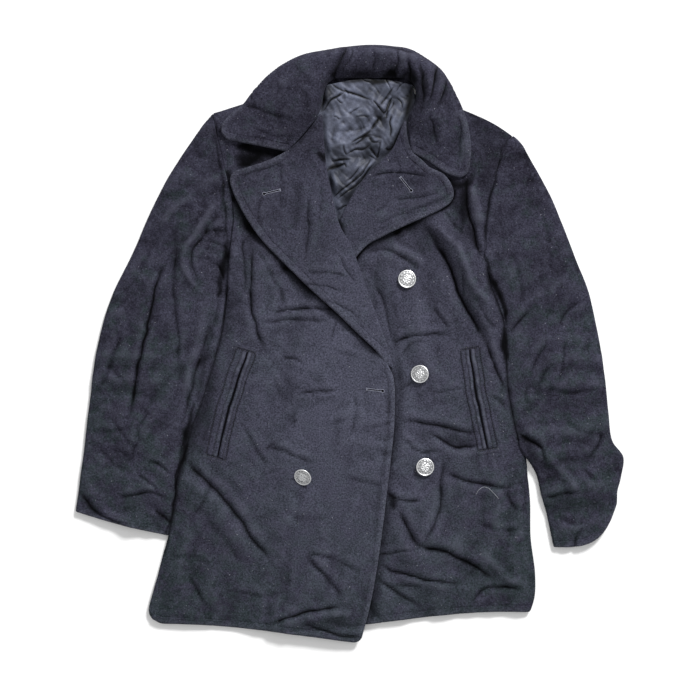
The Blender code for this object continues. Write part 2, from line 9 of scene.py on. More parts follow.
import bpy
import numpy as np
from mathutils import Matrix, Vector


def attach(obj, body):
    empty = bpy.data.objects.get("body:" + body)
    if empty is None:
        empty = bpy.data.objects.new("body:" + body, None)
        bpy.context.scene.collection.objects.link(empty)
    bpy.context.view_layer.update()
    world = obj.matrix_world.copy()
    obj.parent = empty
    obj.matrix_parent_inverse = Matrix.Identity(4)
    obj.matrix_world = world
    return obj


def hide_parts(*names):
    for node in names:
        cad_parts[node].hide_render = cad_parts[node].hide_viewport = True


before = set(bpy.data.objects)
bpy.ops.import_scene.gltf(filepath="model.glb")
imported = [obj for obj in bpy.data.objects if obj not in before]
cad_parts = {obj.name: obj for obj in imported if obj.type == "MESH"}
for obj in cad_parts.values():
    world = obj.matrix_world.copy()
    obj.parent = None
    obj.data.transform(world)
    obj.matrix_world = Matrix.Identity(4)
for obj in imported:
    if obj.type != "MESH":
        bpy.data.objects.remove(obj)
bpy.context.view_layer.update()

bl_info = {
    "name": "Pea coat",
    "version": (1, 0, 0),
    "blender": (4, 5, 0),
    "location": "3D View > Sidebar > Pea coat",
    "description": "Dresses a pea coat that is laid out flat with its lapels open",
    "category": "Object",
}

MM = 0.001

# The coat's own measures, in millimetres, as its solids have them
MIDDLE = np.array([-1.95, 419.89, 0.0])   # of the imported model, on the laying surface
SEAM_GAP = 0.3        # between pieces that are sewn to each other
LAY_GAP = 1.5         # between pieces that lie on each other
PUFF = 3.5            # how far a panel swells inside its edges
EDGE_ROUND = 30.0     # breadth of that swelling's rounded side
FALL_LIFT = 6.3       # of everything that lies over the collar's fall
LINING_ROOM = 1.3     # under the lining
ROLL_ROUND = 14.0     # breadth over which a lapel bends down at its roll line
ROLL_DROP = 1.8       # and how far it does
ARMHOLE_EASE = 90.0   # over which the head of a sleeve is fitted to its armhole
TURN_IN = 9.0         # of the fall of the collar under itself
ARMPIT_Y = {"left": 499.0, "right": 527.0}
BUTTON_WIDTH = 25.4
BUTTON_HEIGHT = 5.2
SEAT_REACH = 9.0      # how far about its middle a button rests on the cloth

# Ramps, each as the two places between which something sets in or fades
LIFT_RISE = (668.0, 742.0)
LIFT_LEFT = (-115.0, -52.0)
LIFT_RIGHT = (102.0, 165.0)
CLIMB_FRONT = (-46.0, -8.0)
CLIMB_LAPEL = (-52.0, -10.0)
LEAVE_LAPEL = (8.0, 46.0)
LAPEL_FOOT = (330.0, 372.0)
NECK_PARTING = (596.0, 622.0)
SHOWN_PAST = (-14.0, 12.0)
SHOWN_NECK = (700.0, 720.0)

Section = namedtuple("Section", "left_x left_y right_x right_y bow bow_at", defaults=(0.0, 0.5))
Rib = namedtuple("Rib", "neck_x neck_y neck_z out_x out_y out_z crest crest_at tuck end_z")
Fold = namedtuple("Fold", "from_x from_y mid_x mid_y to_x to_y height width")
Pocket = namedtuple("Pocket", "top_x top_y foot_x foot_y bow")
Button = namedtuple("Button", "x y turn")

# Each section runs from the left edge of the piece to its right edge, from the hem upwards.
# bow is how far the section curves off its straight line, and bow_at where it does so most.
FRONT_OVER = [
    Section(-278, 25, 14, -2, 6, 0.4),
    Section(-284, 44, 20, 20, 3, 0.4),
    Section(-278, 70, 28, 52),
    Section(-268, 105, 37, 100),
    Section(-256, 152, 45, 155),
    Section(-248, 200, 51, 205),
    Section(-241, 248, 57, 255),
    Section(-225, 298, 62, 305),
    Section(-207, 345, 63, 345),
    Section(-195, 385, 61, 372),
    Section(-183, 425, 52, 393),
    Section(-178, 452, 40, 430),
    Section(-173, 490, 23, 482),
    Section(-171, 525, 8, 522),
    Section(-168, 562, -10, 564),
    Section(-164, 597, -26, 600),
    Section(-168, 629, -33, 632),
    Section(-176, 663, -39, 668),
    Section(-185, 701, -44, 712),
    Section(-192, 733, -45, 747),
    Section(-193, 746, -43, 779, 2),
]
FRONT_UNDER = [
    Section(-82, 14, 254, 42, 6, 0.7),
    Section(-81, 60, 261, 66),
    Section(-80, 110, 261, 100),
    Section(-78, 160, 255, 148),
    Section(-76, 215, 254, 203),
    Section(-74, 270, 247, 255),
    Section(-72, 320, 232, 307),
    Section(-70, 358, 223, 355),
    Section(-60, 390, 221, 393),
    Section(-44, 440, 218, 446),
    Section(-28, 508, 199, 502),
    Section(-16, 561, 190, 545),
    Section(-6, 592, 191, 583),
    Section(10, 626, 196, 618),
    Section(28, 650, 202, 645),
    Section(52, 673, 208, 670),
    Section(73, 695, 213, 690),
    Section(82, 718, 219, 703),
    Section(87, 748, 225, 709),
    Section(96, 778, 230, 713, 5, 0.7),
]
BACK = [
    Section(-275, 36, 252, 44, -3),
    Section(-277, 66, 260, 68),
    Section(-263, 127, 257, 112),
    Section(-249, 165, 253, 152),
    Section(-244, 208, 252, 206),
    Section(-240, 250, 249, 258),
    Section(-233, 287, 237, 298),
    Section(-224, 311, 229, 322),
    Section(-211, 346, 224, 352),
    Section(-200, 385, 223, 395),
    Section(-187, 420, 218, 440),
    Section(-177, 462, 207, 484),
    Section(-174, 480, 198, 505),
    Section(-172, 500, 189, 526),
    Section(-170, 536, 189, 560),
    Section(-164, 599, 195, 610),
    Section(-172, 645, 205, 658),
    Section(-186, 705, 215, 690),
    Section(-192, 738, 226, 706, 28),
    Section(-193, 746, 230, 713, 56),
]
SLEEVE_LEFT = [
    Section(-194, 746, -176, 500, 18, 0.55),
    Section(-210, 727, -177, 482, 17, 0.55),
    Section(-233, 694, -179, 462, 13, 0.55),
    Section(-257, 655, -184, 438, 8, 0.55),
    Section(-282, 606, -190, 416, 4, 0.55),
    Section(-309, 544, -202, 384),
    Section(-335, 492, -213, 346),
    Section(-350, 445, -226, 311),
    Section(-359, 405, -236, 287),
    Section(-365, 360, -241, 259),
    Section(-371, 313, -244, 232),
    Section(-376, 268, -248, 208),
    Section(-382, 224, -252, 180),
    Section(-388, 182, -257, 148, -2),
]
SLEEVE_RIGHT = [
    Section(192, 527, 231, 713, 8, 0.35),
    Section(195, 517, 245, 699, 6, 0.35),
    Section(200, 506, 262, 668, 3, 0.35),
    Section(210, 486, 282, 630),
    Section(218, 462, 299, 590),
    Section(222, 430, 318, 541),
    Section(225, 390, 337, 492),
    Section(226, 352, 347, 447),
    Section(232, 319, 356, 398),
    Section(241, 292, 362, 352),
    Section(253, 259, 366, 302),
    Section(264, 236, 371, 281),
    Section(270, 212, 386, 260),
    Section(276, 190, 382, 232),
    Section(282, 163, 377, 213, -10),
    Section(289, 132, 376, 193, -25),
]
# The lapels are turned back on the fronts: left and right ends are the free edge and the roll line.
LAPEL_OVER = [
    Section(51, 394, 61, 384),
    Section(37, 411, 55, 410),
    Section(10, 436, 43, 445),
    Section(-20, 465, 28, 486),
    Section(-50, 492, 14, 526),
    Section(-78, 519, 1, 560),
    Section(-103, 544, -12, 582),
    Section(-124, 566, -20, 606),
    Section(-142, 591, -26, 635, -1),
    Section(-156, 615, -32, 662, -3),
    Section(-166, 637, -36, 694, -8, 0.55),
    Section(-172, 661, -40, 746, -19, 0.55),
]
LAPEL_UNDER = [
    Section(-66, 378, -56, 384),
    Section(-51, 440, -40, 440),
    Section(-35, 508, -12, 511),
    Section(-23, 561, 20, 556),
    Section(-14, 594, 48, 573),
    Section(4, 631, 84, 590),
    Section(24, 658, 114, 603, -2),
    Section(47, 681, 138, 616, -6, 0.45),
    Section(64, 701, 146, 627, -13, 0.42),
    Section(79, 738, 148, 636, -20, 0.42),
]
LINING = [
    Section(-34, 545, 2, 540),
    Section(-38, 585, 16, 580),
    Section(-44, 625, 40, 612),
    Section(-50, 665, 72, 652),
    Section(-54, 705, 98, 695),
    Section(-48, 742, 94, 736),
    Section(-38, 766, 92, 763),
    Section(-33, 785, 89, 785, 8.5),
]
# Each rib of the collar runs from the neck seam over the crest of its roll to the outline. Where
# tuck is positive the fall turns under there, by that much; where negative it lies flat on the front.
COLLAR = [
    Rib(-92, 692, 14.0, -180, 709, 13.6, 15.5, 0.50, -18, 13.6),
    Rib(-80, 703, 14.0, -181, 728, 13.4, 16.0, 0.45, -18, 13.4),
    Rib(-69, 715, 14.0, -168, 744, 12.5, 17.5, 0.40, -18, 12.5),
    Rib(-58, 728, 14.0, -151, 758, 12.0, 20.0, 0.34, -14, 11.0),
    Rib(-48, 741, 14.0, -137, 777, 11.0, 23.0, 0.26, 3, 7.0),
    Rib(-42, 757, 13.0, -118, 798, 10.0, 25.0, 0.20, 20, 3.8),
    Rib(-39, 774, 12.0, -94, 816, 10.0, 25.0, 0.22, 36, 3.2),
    Rib(-34, 787, 8.0, -66, 829, 10.5, 23.0, 0.32, 54, 3.0),
    Rib(-22, 796, 6.5, -35, 835, 11.0, 21.0, 0.55, 72, 3.0),
    Rib(-6, 797, 6.5, -8, 839, 11.0, 20.0, 0.64, 80, 3.0),
    Rib(24, 797, 6.5, 27, 842, 11.0, 20.0, 0.66, 84, 3.0),
    Rib(56, 797, 6.5, 64, 840, 11.0, 21.0, 0.60, 80, 3.0),
    Rib(76, 797, 6.5, 90, 834, 11.0, 23.0, 0.48, 70, 3.0),
    Rib(90, 788, 8.0, 124, 812, 10.5, 26.0, 0.34, 42, 3.0),
    Rib(95, 772, 12.0, 140, 792, 10.0, 27.0, 0.30, 22, 3.8),
    Rib(92, 757, 13.0, 151, 770, 10.5, 26.0, 0.28, 2, 8.0),
    Rib(86, 742, 14.0, 159, 750, 12.5, 24.0, 0.28, -14, 12.0),
    Rib(84, 728, 14.0, 167, 725, 13.0, 20.0, 0.34, -18, 13.0),
    Rib(86, 713, 14.0, 171, 697, 13.4, 17.0, 0.42, -18, 13.4),
    Rib(87, 700, 14.0, 170, 677, 13.6, 15.8, 0.50, -18, 13.6),
    Rib(90, 689, 14.0, 166, 657, 13.6, 15.5, 0.50, -18, 13.6),
]
# Ridges have a positive height and troughs a negative one; width is half of the fold's breadth.
FOLDS_OVER = [
    Fold(-245, 236, -196, 190, -116, 92, 6.0, 17),
    Fold(-236, 268, -180, 216, -100, 112, -2.5, 14),
    Fold(-168, 600, -164, 540, -172, 470, 5.5, 16),
    Fold(-134, 560, -133, 480, -112, 408, 4.5, 18),
    Fold(-110, 448, -60, 462, -20, 440, 3.0, 18),
    Fold(-104, 262, -70, 262, -30, 244, 4.0, 17),
    Fold(-62, 132, -20, 92, 20, 84, 4.5, 18),
    Fold(-110, 34, -40, 34, 14, 42, 5.5, 16),
]
FOLDS_UNDER = [
    Fold(98, 606, 166, 528, 206, 446, 8.5, 17),
    Fold(92, 590, 148, 500, 198, 412, -2.5, 14),
    Fold(172, 650, 168, 600, 184, 548, 4.5, 15),
    Fold(68, 324, 126, 314, 186, 298, 4.5, 17),
    Fold(126, 270, 166, 248, 240, 224, 4.5, 18),
    Fold(70, 214, 124, 144, 216, 96, 6.0, 18),
    Fold(60, 170, 96, 112, 190, 62, 4.0, 18),
    Fold(52, 432, 96, 446, 140, 442, 3.5, 17),
]
FOLDS_SLEEVE_LEFT = [
    Fold(-252, 560, -278, 470, -304, 350, 6.5, 17),
    Fold(-234, 580, -244, 480, -252, 380, 4.5, 15),
    Fold(-186, 620, -224, 574, -222, 506, 6.5, 17),
    Fold(-284, 340, -302, 310, -312, 262, 4.0, 17),
    Fold(-330, 222, -290, 214, -258, 196, 4.5, 17),
    Fold(-362, 208, -340, 190, -300, 176, -2.5, 15),
    Fold(-322, 430, -336, 392, -352, 352, 3.5, 17),
]
FOLDS_SLEEVE_RIGHT = [
    Fold(232, 446, 250, 470, 290, 488, 4.5, 17),
    Fold(296, 452, 282, 404, 270, 352, 4.5, 17),
    Fold(268, 358, 304, 362, 350, 362, 3.5, 17),
    Fold(240, 294, 272, 268, 306, 238, 6.5, 17),
    Fold(290, 216, 322, 226, 356, 262, 5.0, 18),
]
FOLDS_LINING = [
    Fold(-28, 660, 10, 675, 52, 720, 3.0, 12),
    Fold(-16, 720, 24, 742, 62, 762, 2.6, 12),
    Fold(-20, 612, -2, 632, 26, 648, 2.6, 11),
    Fold(60, 762, 56, 720, 24, 690, 2.6, 12),
]

POCKETS = {
    "left": Pocket(-143.6, 410, -187.2, 260, -3.5),
    "right": Pocket(168.5, 413.5, 194.5, 272, -2.0),
}
BUTTONS = {
    "button_top": Button(80.4, 512, 8),
    "button_middle": Button(98.7, 378, -6),
    "button_lower": Button(105.8, 247, 12),
    "button_over": Button(-65.4, 234, 20),
}

# Creases, each with its rise, its width and its path: valleys with a ridge along their left, or
# ridges alone where the rise is negative
CREASES_SLEEVE_LEFT = [
    (5.5, 13, (-314, 305, -309, 331, -303, 365, -296, 402, -289, 433, -282, 458, -275, 495,
               -268, 517, -251, 553)),
    (3, 12, (-250, 592, -245, 553, -248, 510, -247, 478, -243, 433, -243, 402, -237, 352)),
    (-4.2, 6, (-171, 622, -193, 615, -206, 592, -221, 571, -235, 550, -234, 527, -220, 503, -202, 485)),
    (3, 8, (-185, 612, -197, 589, -212, 567, -224, 547, -223, 527, -210, 506)),
    (-2.4, 6, (-217, 626, -240, 619, -254, 606, -266, 585)),
    (2.6, 7, (-216, 567, -195, 564, -171, 554)),
    (2.2, 7, (-188, 572, -193, 588, -186, 603)),
    (3.5, 9, (-206, 572, -197, 580, -171, 581)),
    (3, 8, (-175, 506, -182, 523, -188, 536)),
    (2.5, 10, (-279, 330, -295, 307, -300, 282, -310, 254)),
    (3.2, 8, (-268, 213, -285, 227, -302, 238)),
    (3.2, 9, (-327, 202, -310, 206, -282, 212, -257, 200)),
    (3.5, 7, (-254, 169, -268, 180, -278, 189)),
    (4.5, 12, (-381, 220, -372, 200, -355, 180, -331, 169, -306, 162)),
    (2.6, 8, (-254, 234, -268, 248, -282, 255)),
    (2.5, 13, (-360, 347, -345, 374, -331, 409, -320, 440)),
    (3, 10, (-240, 299, -230, 334, -219, 376, -207, 419, -197, 457)),
    (-3.5, 10, (-234, 341, -226, 386, -213, 440, -203, 488)),
    (2, 10, (-293, 268, -317, 288, -336, 313)),
    (1.8, 11, (-314, 494, -296, 525, -282, 553)),
    (1.8, 10, (-309, 240, -338, 254, -361, 285)),
    (1.8, 9, (-367, 299, -338, 296, -305, 302)),
    (2, 12, (-299, 578, -282, 616, -268, 651)),
]
CREASES_SLEEVE_RIGHT = [
    (3.2, 8, (224, 434, 237, 451, 252, 468)),
    (2.8, 8, (336, 488, 307, 467, 299, 454, 296, 440)),
    (2, 10, (290, 398, 276, 381, 268, 364, 265, 347)),
    (2, 8, (293, 364, 299, 384, 302, 412, 299, 440)),
    (2.4, 9, (265, 354, 285, 355, 310, 352, 336, 355, 358, 357)),
    (2.2, 8, (251, 361, 248, 347, 252, 333)),
    (2.6, 10, (251, 372, 265, 403, 279, 426)),
    (6, 10, (240, 295, 257, 282, 274, 271)),
    (3, 8, (275, 254, 271, 276)),
    (-4.5, 9, (272, 266, 292, 247, 310, 228, 320, 212)),
    (4.5, 9, (320, 210, 302, 210, 285, 204, 274, 206)),
    (3, 9, (348, 226, 338, 235, 329, 244)),
    (3.2, 11, (336, 258, 350, 278, 355, 296)),
    (1.8, 11, (243, 471, 240, 510, 227, 553)),
    (1.8, 13, (285, 510, 279, 567, 268, 623)),
    (2, 10, (358, 290, 324, 299, 302, 314)),
    (2.5, 9, (341, 171, 313, 168, 293, 178)),
    (1.8, 9, (299, 312, 275, 307, 254, 313)),
    (2, 10, (296, 592, 313, 553, 324, 510)),
    (2.5, 8, (330, 161, 320, 149, 316, 127)),
]
CREASES_OVER = [
    (2.2, 9, (-133, 561, -116, 527, -99, 496, -92, 465)),
    (4.5, 12, (-116, 403, -128, 430, -137, 461, -140, 505, -138, 536, -133, 570)),
    (3.5, 8, (-147, 488, -151, 536, -152, 570)),
    (-4, 8, (-180, 460, -171, 496, -165, 536, -162, 567)),
    (3.5, 8, (-175, 536, -175, 502, -183, 465, -195, 429)),
    (3.5, 9, (-113, 464, -85, 468, -56, 470, -25, 468)),
    (2.8, 8, (-130, 450, -99, 454, -65, 454, -28, 451)),
    (3, 7, (-63, 391, -80, 399, -93, 402)),
    (3, 7, (-76, 351, -49, 354, -14, 355)),
    (2, 6, (-27, 426, -23, 440, -18, 455)),
    (5.6, 12, (-240, 271, -226, 251, -214, 237, -193, 217, -175, 199, -158, 176, -144, 154,
               -130, 135, -118, 123, -100, 92)),
    (3.2, 9, (-113, 274, -99, 271, -76, 261, -42, 251)),
    (2.2, 7, (-121, 272, -109, 278, -89, 288)),
    (2.8, 8, (-151, 307, -140, 288, -128, 265, -117, 245)),
    (1.8, 6, (-123, 237, -110, 240, -97, 240)),
    (4.5, 10, (-63, 125, -48, 107, -32, 90, -11, 62)),
    (3.5, 9, (-65, 125, -42, 121, -18, 116, 23, 94)),
    (2.2, 8, (-20, 238, 17, 227, 51, 219)),
    (2.2, 8, (25, 300, 45, 305, 65, 312)),
    (2.5, 8, (-228, 94, -214, 70, -193, 39)),
    (5, 9, (-11, 49, -47, 45, -85, 35, -116, 25)),
    (4.5, 8, (-70, 28, -28, 13, -6, 7, 23, 8)),
    (-4, 8, (-28, 39, -11, 41, 0, 37)),
    (1.8, 12, (-203, 172, -175, 144, -155, 107)),
    (1.8, 12, (-169, 73, -124, 65, -82, 73)),
    (1.8, 12, (-45, 200, -20, 172, -11, 135)),
    (1.8, 11, (-70, 313, -28, 307, 3, 316)),
    (2.2, 9, (-195, 234, -203, 203, -226, 169)),
    (2, 9, (-206, 364, -197, 361, -185, 352)),
    (1.8, 9, (-28, 412, 3, 403, 31, 389)),
    (3, 9, (-206, 361, -214, 327, -226, 274)),
    (1.8, 10, (-254, 116, -226, 121, -192, 107)),
    (1.8, 12, (-99, 186, -56, 172, -28, 178)),
    (2, 9, (3, 352, 8, 327, 0, 290)),
]
CREASES_UNDER = [
    (7, 10, (164, 668, 164, 637, 168, 603, 175, 578, 180, 558, 192, 536)),
    (7, 15, (99, 598, 120, 564, 137, 536, 148, 510, 155, 489, 166, 468, 179, 444, 193, 423)),
    (3, 7, (159, 519, 161, 502, 161, 485)),
    (4.5, 9, (193, 429, 199, 402, 212, 372, 224, 350)),
    (3.8, 8, (58, 422, 80, 430, 106, 434, 144, 434)),
    (-3.5, 8, (56, 558, 80, 550, 110, 529)),
    (2.8, 9, (99, 525, 76, 541, 48, 553, 20, 547)),
    (3, 8, (34, 506, 49, 475, 61, 422)),
    (3, 8, (116, 474, 127, 458, 140, 441)),
    (2, 7, (69, 354, 89, 367)),
    (2.2, 7, (113, 350, 133, 352, 158, 360)),
    (3.8, 10, (65, 314, 99, 309, 123, 305, 155, 299, 189, 290)),
    (5, 9, (195, 279, 166, 275, 144, 276, 127, 285, 109, 296)),
    (2.8, 7, (72, 288, 83, 281, 94, 269, 137, 271)),
    (3.3, 10, (104, 141, 114, 157, 127, 188, 128, 213, 130, 238, 134, 262)),
    (4.2, 10, (231, 217, 207, 220, 179, 223, 154, 230, 130, 241)),
    (3.2, 9, (217, 216, 226, 200, 237, 183)),
    (3.5, 8, (48, 216, 62, 204, 82, 200, 106, 200)),
    (4.4, 11, (69, 189, 79, 166, 89, 145, 100, 135)),
    (5.4, 14, (89, 144, 106, 134, 127, 130, 144, 124, 171, 110, 189, 97, 210, 80)),
    (2.8, 7, (38, 121, 65, 127, 92, 131)),
    (4.5, 8, (159, 83, 114, 87, 69, 97, 38, 110)),
    (4.5, 8, (35, 89, 52, 79, 69, 69, 106, 45)),
    (2, 7, (51, 80, 78, 79, 106, 78)),
    (3.5, 10, (166, 52, 182, 68, 196, 76, 224, 78, 245, 70)),
    (-4, 9, (179, 133, 200, 113, 220, 92, 243, 79)),
    (2, 9, (70, 398, 85, 419, 113, 426)),
    (3, 8, (197, 347, 212, 338, 223, 324)),
    (2.5, 8, (180, 474, 192, 457, 206, 440)),
    (2.5, 9, (134, 609, 144, 592, 164, 572)),
    (2, 10, (178, 172, 209, 158, 245, 161)),
    (-5, 8, (104, 602, 130, 580, 151, 557, 162, 533, 176, 501, 192, 481, 212, 465)),
    (2.6, 9, (243, 228, 248, 206, 245, 183)),
    (-3.5, 8, (172, 646, 178, 615, 188, 581)),
]
CREASES_LAPEL_OVER = [
    (3, 10, (-58, 629, -58, 602, -59, 572, -63, 536)),
    (2.4, 7, (-63, 520, -32, 520, -1, 513)),
    (1.8, 10, (-99, 682, -97, 644, -97, 606)),
    (1.8, 10, (-45, 589, -39, 623, -41, 654)),
    (2, 8, (-17, 546, -7, 525, 10, 502)),
    (1.8, 9, (-155, 654, -124, 666, -68, 675)),
    (1.8, 8, (-45, 482, -14, 474, 17, 451)),
    (1.8, 9, (-124, 629, -130, 606, -124, 581)),
    (2, 7, (-70, 505, -42, 502, -8, 494)),
]
CREASES_LAPEL_UNDER = [
    (4.5, 8, (116, 657, 78, 660, 54, 661, 28, 654)),
    (2.4, 9, (59, 622, 92, 626, 127, 632)),
    (1.8, 8, (59, 634, 48, 615, 31, 601)),
    (2, 8, (78, 606, 106, 616, 134, 625)),
    (1.6, 8, (65, 682, 70, 668, 65, 649)),
    (1.8, 8, (39, 587, 65, 601, 93, 606)),
]
CREASES_COLLAR = [
    (2.8, 13, (-157, 757, -138, 753, -116, 746, -68, 729)),
    (4.5, 9, (121, 812, 118, 792, 116, 776, 104, 750)),
    (3, 7, (134, 792, 131, 774, 124, 759)),
    (4, 7, (100, 795, 104, 776, 102, 753)),
    (3, 10, (109, 744, 118, 722, 121, 697)),
    (4, 7, (124, 809, 104, 823, 78, 829, 52, 836, 11, 835)),
    (7, 8, (-25, 795, -14, 815, -7, 829, -4, 840)),
    (4, 6, (-13, 801, -1, 821, 4, 835)),
    (1.6, 11, (-130, 784, -106, 778, -76, 776)),
    (1.8, 12, (-93, 821, -70, 804, -51, 776)),
    (3.5, 7, (65, 832, 68, 818, 62, 801)),
    (2.4, 7, (28, 802, 34, 821, 31, 832)),
    (1.5, 10, (-144, 726, -110, 713, -85, 716)),
    (2.2, 8, (149, 742, 157, 722, 154, 685)),
    (-2, 7, (138, 764, 158, 730, 161, 699, 158, 663)),
    (1.6, 11, (-70, 781, -62, 764, -59, 744)),
    (3, 7, (78, 821, 86, 804, 87, 787)),
    (2, 7, (-104, 790, -99, 778, -104, 767)),
]
CREASES_LINING = [
    (3.8, 4.6, (-39, 746, -30, 759, -20, 768, -10, 776)),
    (3.4, 4.2, (31, 764, 13, 770, -1, 774, -17, 780, -28, 788)),
    (2.4, 3.4, (0, 768, -4, 776, -10, 781)),
    (2.4, 3.4, (-20, 767, -16, 763, -10, 759)),
    (3.4, 4, (32, 764, 39, 754, 48, 746)),
    (3.2, 4, (47, 746, 54, 759, 62, 768)),
    (2.8, 3.6, (35, 749, 45, 761, 55, 773, 62, 783)),
    (3, 3.8, (61, 767, 54, 754, 49, 737)),
    (2.4, 3.4, (65, 768, 72, 760, 75, 750)),
    (2.6, 3.4, (51, 792, 54, 787, 59, 778)),
    (2.4, 3.4, (82, 790, 72, 784, 65, 774)),
    (2.2, 3.2, (13, 794, 21, 790, 30, 788)),
    (4.6, 4.6, (28, 722, 35, 730, 39, 737)),
    (4, 4.4, (1, 704, 10, 708, 18, 712, 30, 722)),
    (3.6, 4, (7, 701, 16, 706, 23, 713, 31, 713)),
    (3.4, 4, (27, 712, 34, 705, 42, 704)),
    (2.2, 3.4, (-1, 744, 7, 749, 16, 753)),
    (2.2, 3.4, (8, 739, 18, 740, 28, 739)),
    (2.4, 3.2, (-24, 740, -20, 739, -16, 735)),
    (-2.6, 6, (-20, 695, -17, 711, -13, 722, -4, 732)),
    (2.6, 3.6, (-3, 687, -7, 694, -10, 701)),
    (2.8, 3.8, (-4, 689, 8, 695, 20, 695, 28, 701)),
    (2.8, 3.8, (-24, 678, -13, 681, 3, 680)),
    (5, 5, (-32, 664, -21, 670, -8, 675)),
    (2.4, 3.4, (-11, 675, -8, 673, -6, 668)),
    (3.2, 3.8, (39, 680, 35, 689, 28, 698)),
    (3, 3.8, (44, 704, 42, 694, 38, 678)),
    (2.8, 3.6, (28, 687, 34, 682, 39, 678)),
    (3.8, 4.2, (-21, 626, -13, 636, 0, 646, 11, 656, 21, 667, 30, 682)),
    (3.6, 4.2, (-18, 623, -6, 633, 7, 643, 18, 656, 27, 667, 39, 680)),
    (2.8, 3.6, (-11, 647, 0, 654, 8, 664, 16, 673)),
    (3.6, 4.4, (51, 697, 56, 695, 61, 698)),
    (3, 4.2, (58, 743, 55, 733, 59, 721, 56, 709)),
    (2.6, 3.6, (49, 742, 56, 750, 61, 757, 63, 766)),
    (2.6, 3.8, (-17, 608, -8, 615, 3, 619)),
]
# Painted shade in hollows, creases and gaps between pieces, each with its strength from 0 to 1, its width
# and its path
HOLLOWS_OVER = [
    (0.7, 2.2, (-193, 756, -185, 694, -178, 637, -173, 588, -171, 547)),
    (0.6, 13, (-189, 386, -202, 344, -214, 302, -226, 259)),
    (0.5, 8, (-166, 502, -172, 465, -185, 426, -200, 384)),
    (0.4, 10, (-147, 587, -144, 544, -149, 496)),
    (1, 13, (-161, 698, -130, 692, -92, 688)),
    (1, 10, (-165, 684, -141, 682, -116, 685)),
    (1, 7, (-161, 674, -149, 675, -138, 678)),
    (0.95, 10, (-175, 643, -155, 606, -141, 584, -121, 558)),
    (0.85, 7, (-124, 561, -82, 520, -39, 478)),
    (0.7, 5, (-42, 481, -7, 451, 39, 409)),
    (0.97, 7, (-175, 570, -176, 544, -180, 516, -188, 482)),
    (0.5, 9, (-183, 496, -195, 440, -207, 381)),
    (0.7, 9, (-202, 381, -217, 330, -231, 285)),
    (1, 9, (-214, 347, -224, 316, -231, 288, -238, 254, -244, 220)),
    (0.95, 5, (-234, 276, -244, 228, -251, 186, -258, 138)),
    (0.5, 9, (-191, 440, -194, 405, -198, 377, -204, 352, -213, 333, -224, 316)),
    (0.35, 8, (-203, 325, -207, 289, -213, 262)),
    (0.35, 8, (-141, 570, -141, 536, -141, 496)),
    (0.35, 8, (-237, 268, -223, 251, -209, 231)),
    (0.35, 7, (-56, 30, -21, 25, 14, 23)),
    (0.25, 4, (51, 398, 54, 355, 54, 313, 48, 257, 39, 200, 34, 137)),
]
HOLLOWS_UNDER = [
    (0.8, 2.2, (226, 722, 212, 680, 202, 646, 195, 612, 190, 578, 189, 536)),
    (1, 8, (127, 657, 141, 649, 155, 643, 166, 646, 175, 660)),
    (0.93, 7, (161, 657, 162, 634, 162, 609, 158, 581)),
    (0.7, 6, (164, 603, 172, 575, 183, 547)),
    (0.42, 26, (169, 747, 197, 708, 209, 623)),
    (1, 6.5, (190, 547, 196, 516, 203, 499, 210, 486, 217, 465, 221, 443)),
    (1, 6.5, (218, 450, 218, 430, 218, 412, 221, 390)),
    (0.95, 4.2, (225, 345, 230, 323, 240, 291, 246, 267, 249, 252)),
    (0.9, 2.4, (221, 409, 226, 369, 227, 338, 238, 296)),
    (0.6, 6, (238, 296, 250, 254, 255, 200)),
    (0.5, 7, (127, 603, 70, 578, 8, 546)),
    (0.9, 4, (131, 609, 70, 580, 8, 547)),
    (0.4, 7, (20, 536, 56, 482, 68, 409)),
    (0.5, 8, (68, 409, 70, 341, 59, 243)),
    (0.55, 8, (62, 257, 51, 172, 37, 80, 28, 24)),
    (0.95, 7, (55, 213, 61, 200, 61, 186)),
    (0.55, 9, (104, 592, 127, 556, 144, 516)),
    (0.45, 8, (155, 489, 172, 457, 189, 429)),
    (0.45, 8, (133, 288, 155, 283, 180, 285)),
    (0.35, 10, (144, 121, 166, 107, 186, 92)),
    (0.4, 7, (79, 161, 89, 144, 104, 134)),
]
HOLLOWS_SLEEVE_LEFT = [
    (0.7, 2.2, (-195, 756, -186, 694, -179, 637, -175, 588, -172, 547)),
    (1, 6, (-219, 341, -226, 309, -230, 293, -234, 281, -243, 262)),
    (0.98, 2.4, (-235, 285, -244, 250, -245, 226, -248, 203, -252, 183, -257, 161, -261, 135)),
    (0.45, 5, (-180, 496, -195, 440, -209, 381, -216, 338)),
    (0.97, 6, (-173, 570, -176, 544, -180, 516, -188, 482)),
    (0.35, 10, (-271, 505, -276, 475, -281, 447)),
    (0.3, 10, (-245, 588, -247, 553, -248, 517)),
    (0.3, 9, (-204, 572, -190, 575, -172, 572)),
    (0.45, 8, (-378, 209, -364, 189, -344, 175)),
    (0.6, 6, (-274, 185, -264, 175, -255, 166)),
    (0.35, 10, (-190, 536, -180, 522, -175, 502)),
]
HOLLOWS_SLEEVE_RIGHT = [
    (0.8, 2.2, (227, 722, 213, 680, 203, 646, 196, 612, 192, 578, 190, 536)),
    (1, 5.5, (190, 547, 199, 516, 206, 499, 213, 486, 219, 465, 223, 443)),
    (1, 4, (220, 443, 220, 426, 221, 412, 223, 395)),
    (0.6, 4, (223, 369, 231, 319, 248, 276)),
    (0.75, 6, (241, 292, 257, 282, 272, 271)),
    (0.5, 6, (282, 204, 299, 207, 316, 209)),
    (0.35, 8, (183, 581, 192, 637, 212, 694)),
    (0.12, 26, (228, 722, 245, 666, 268, 595)),
]
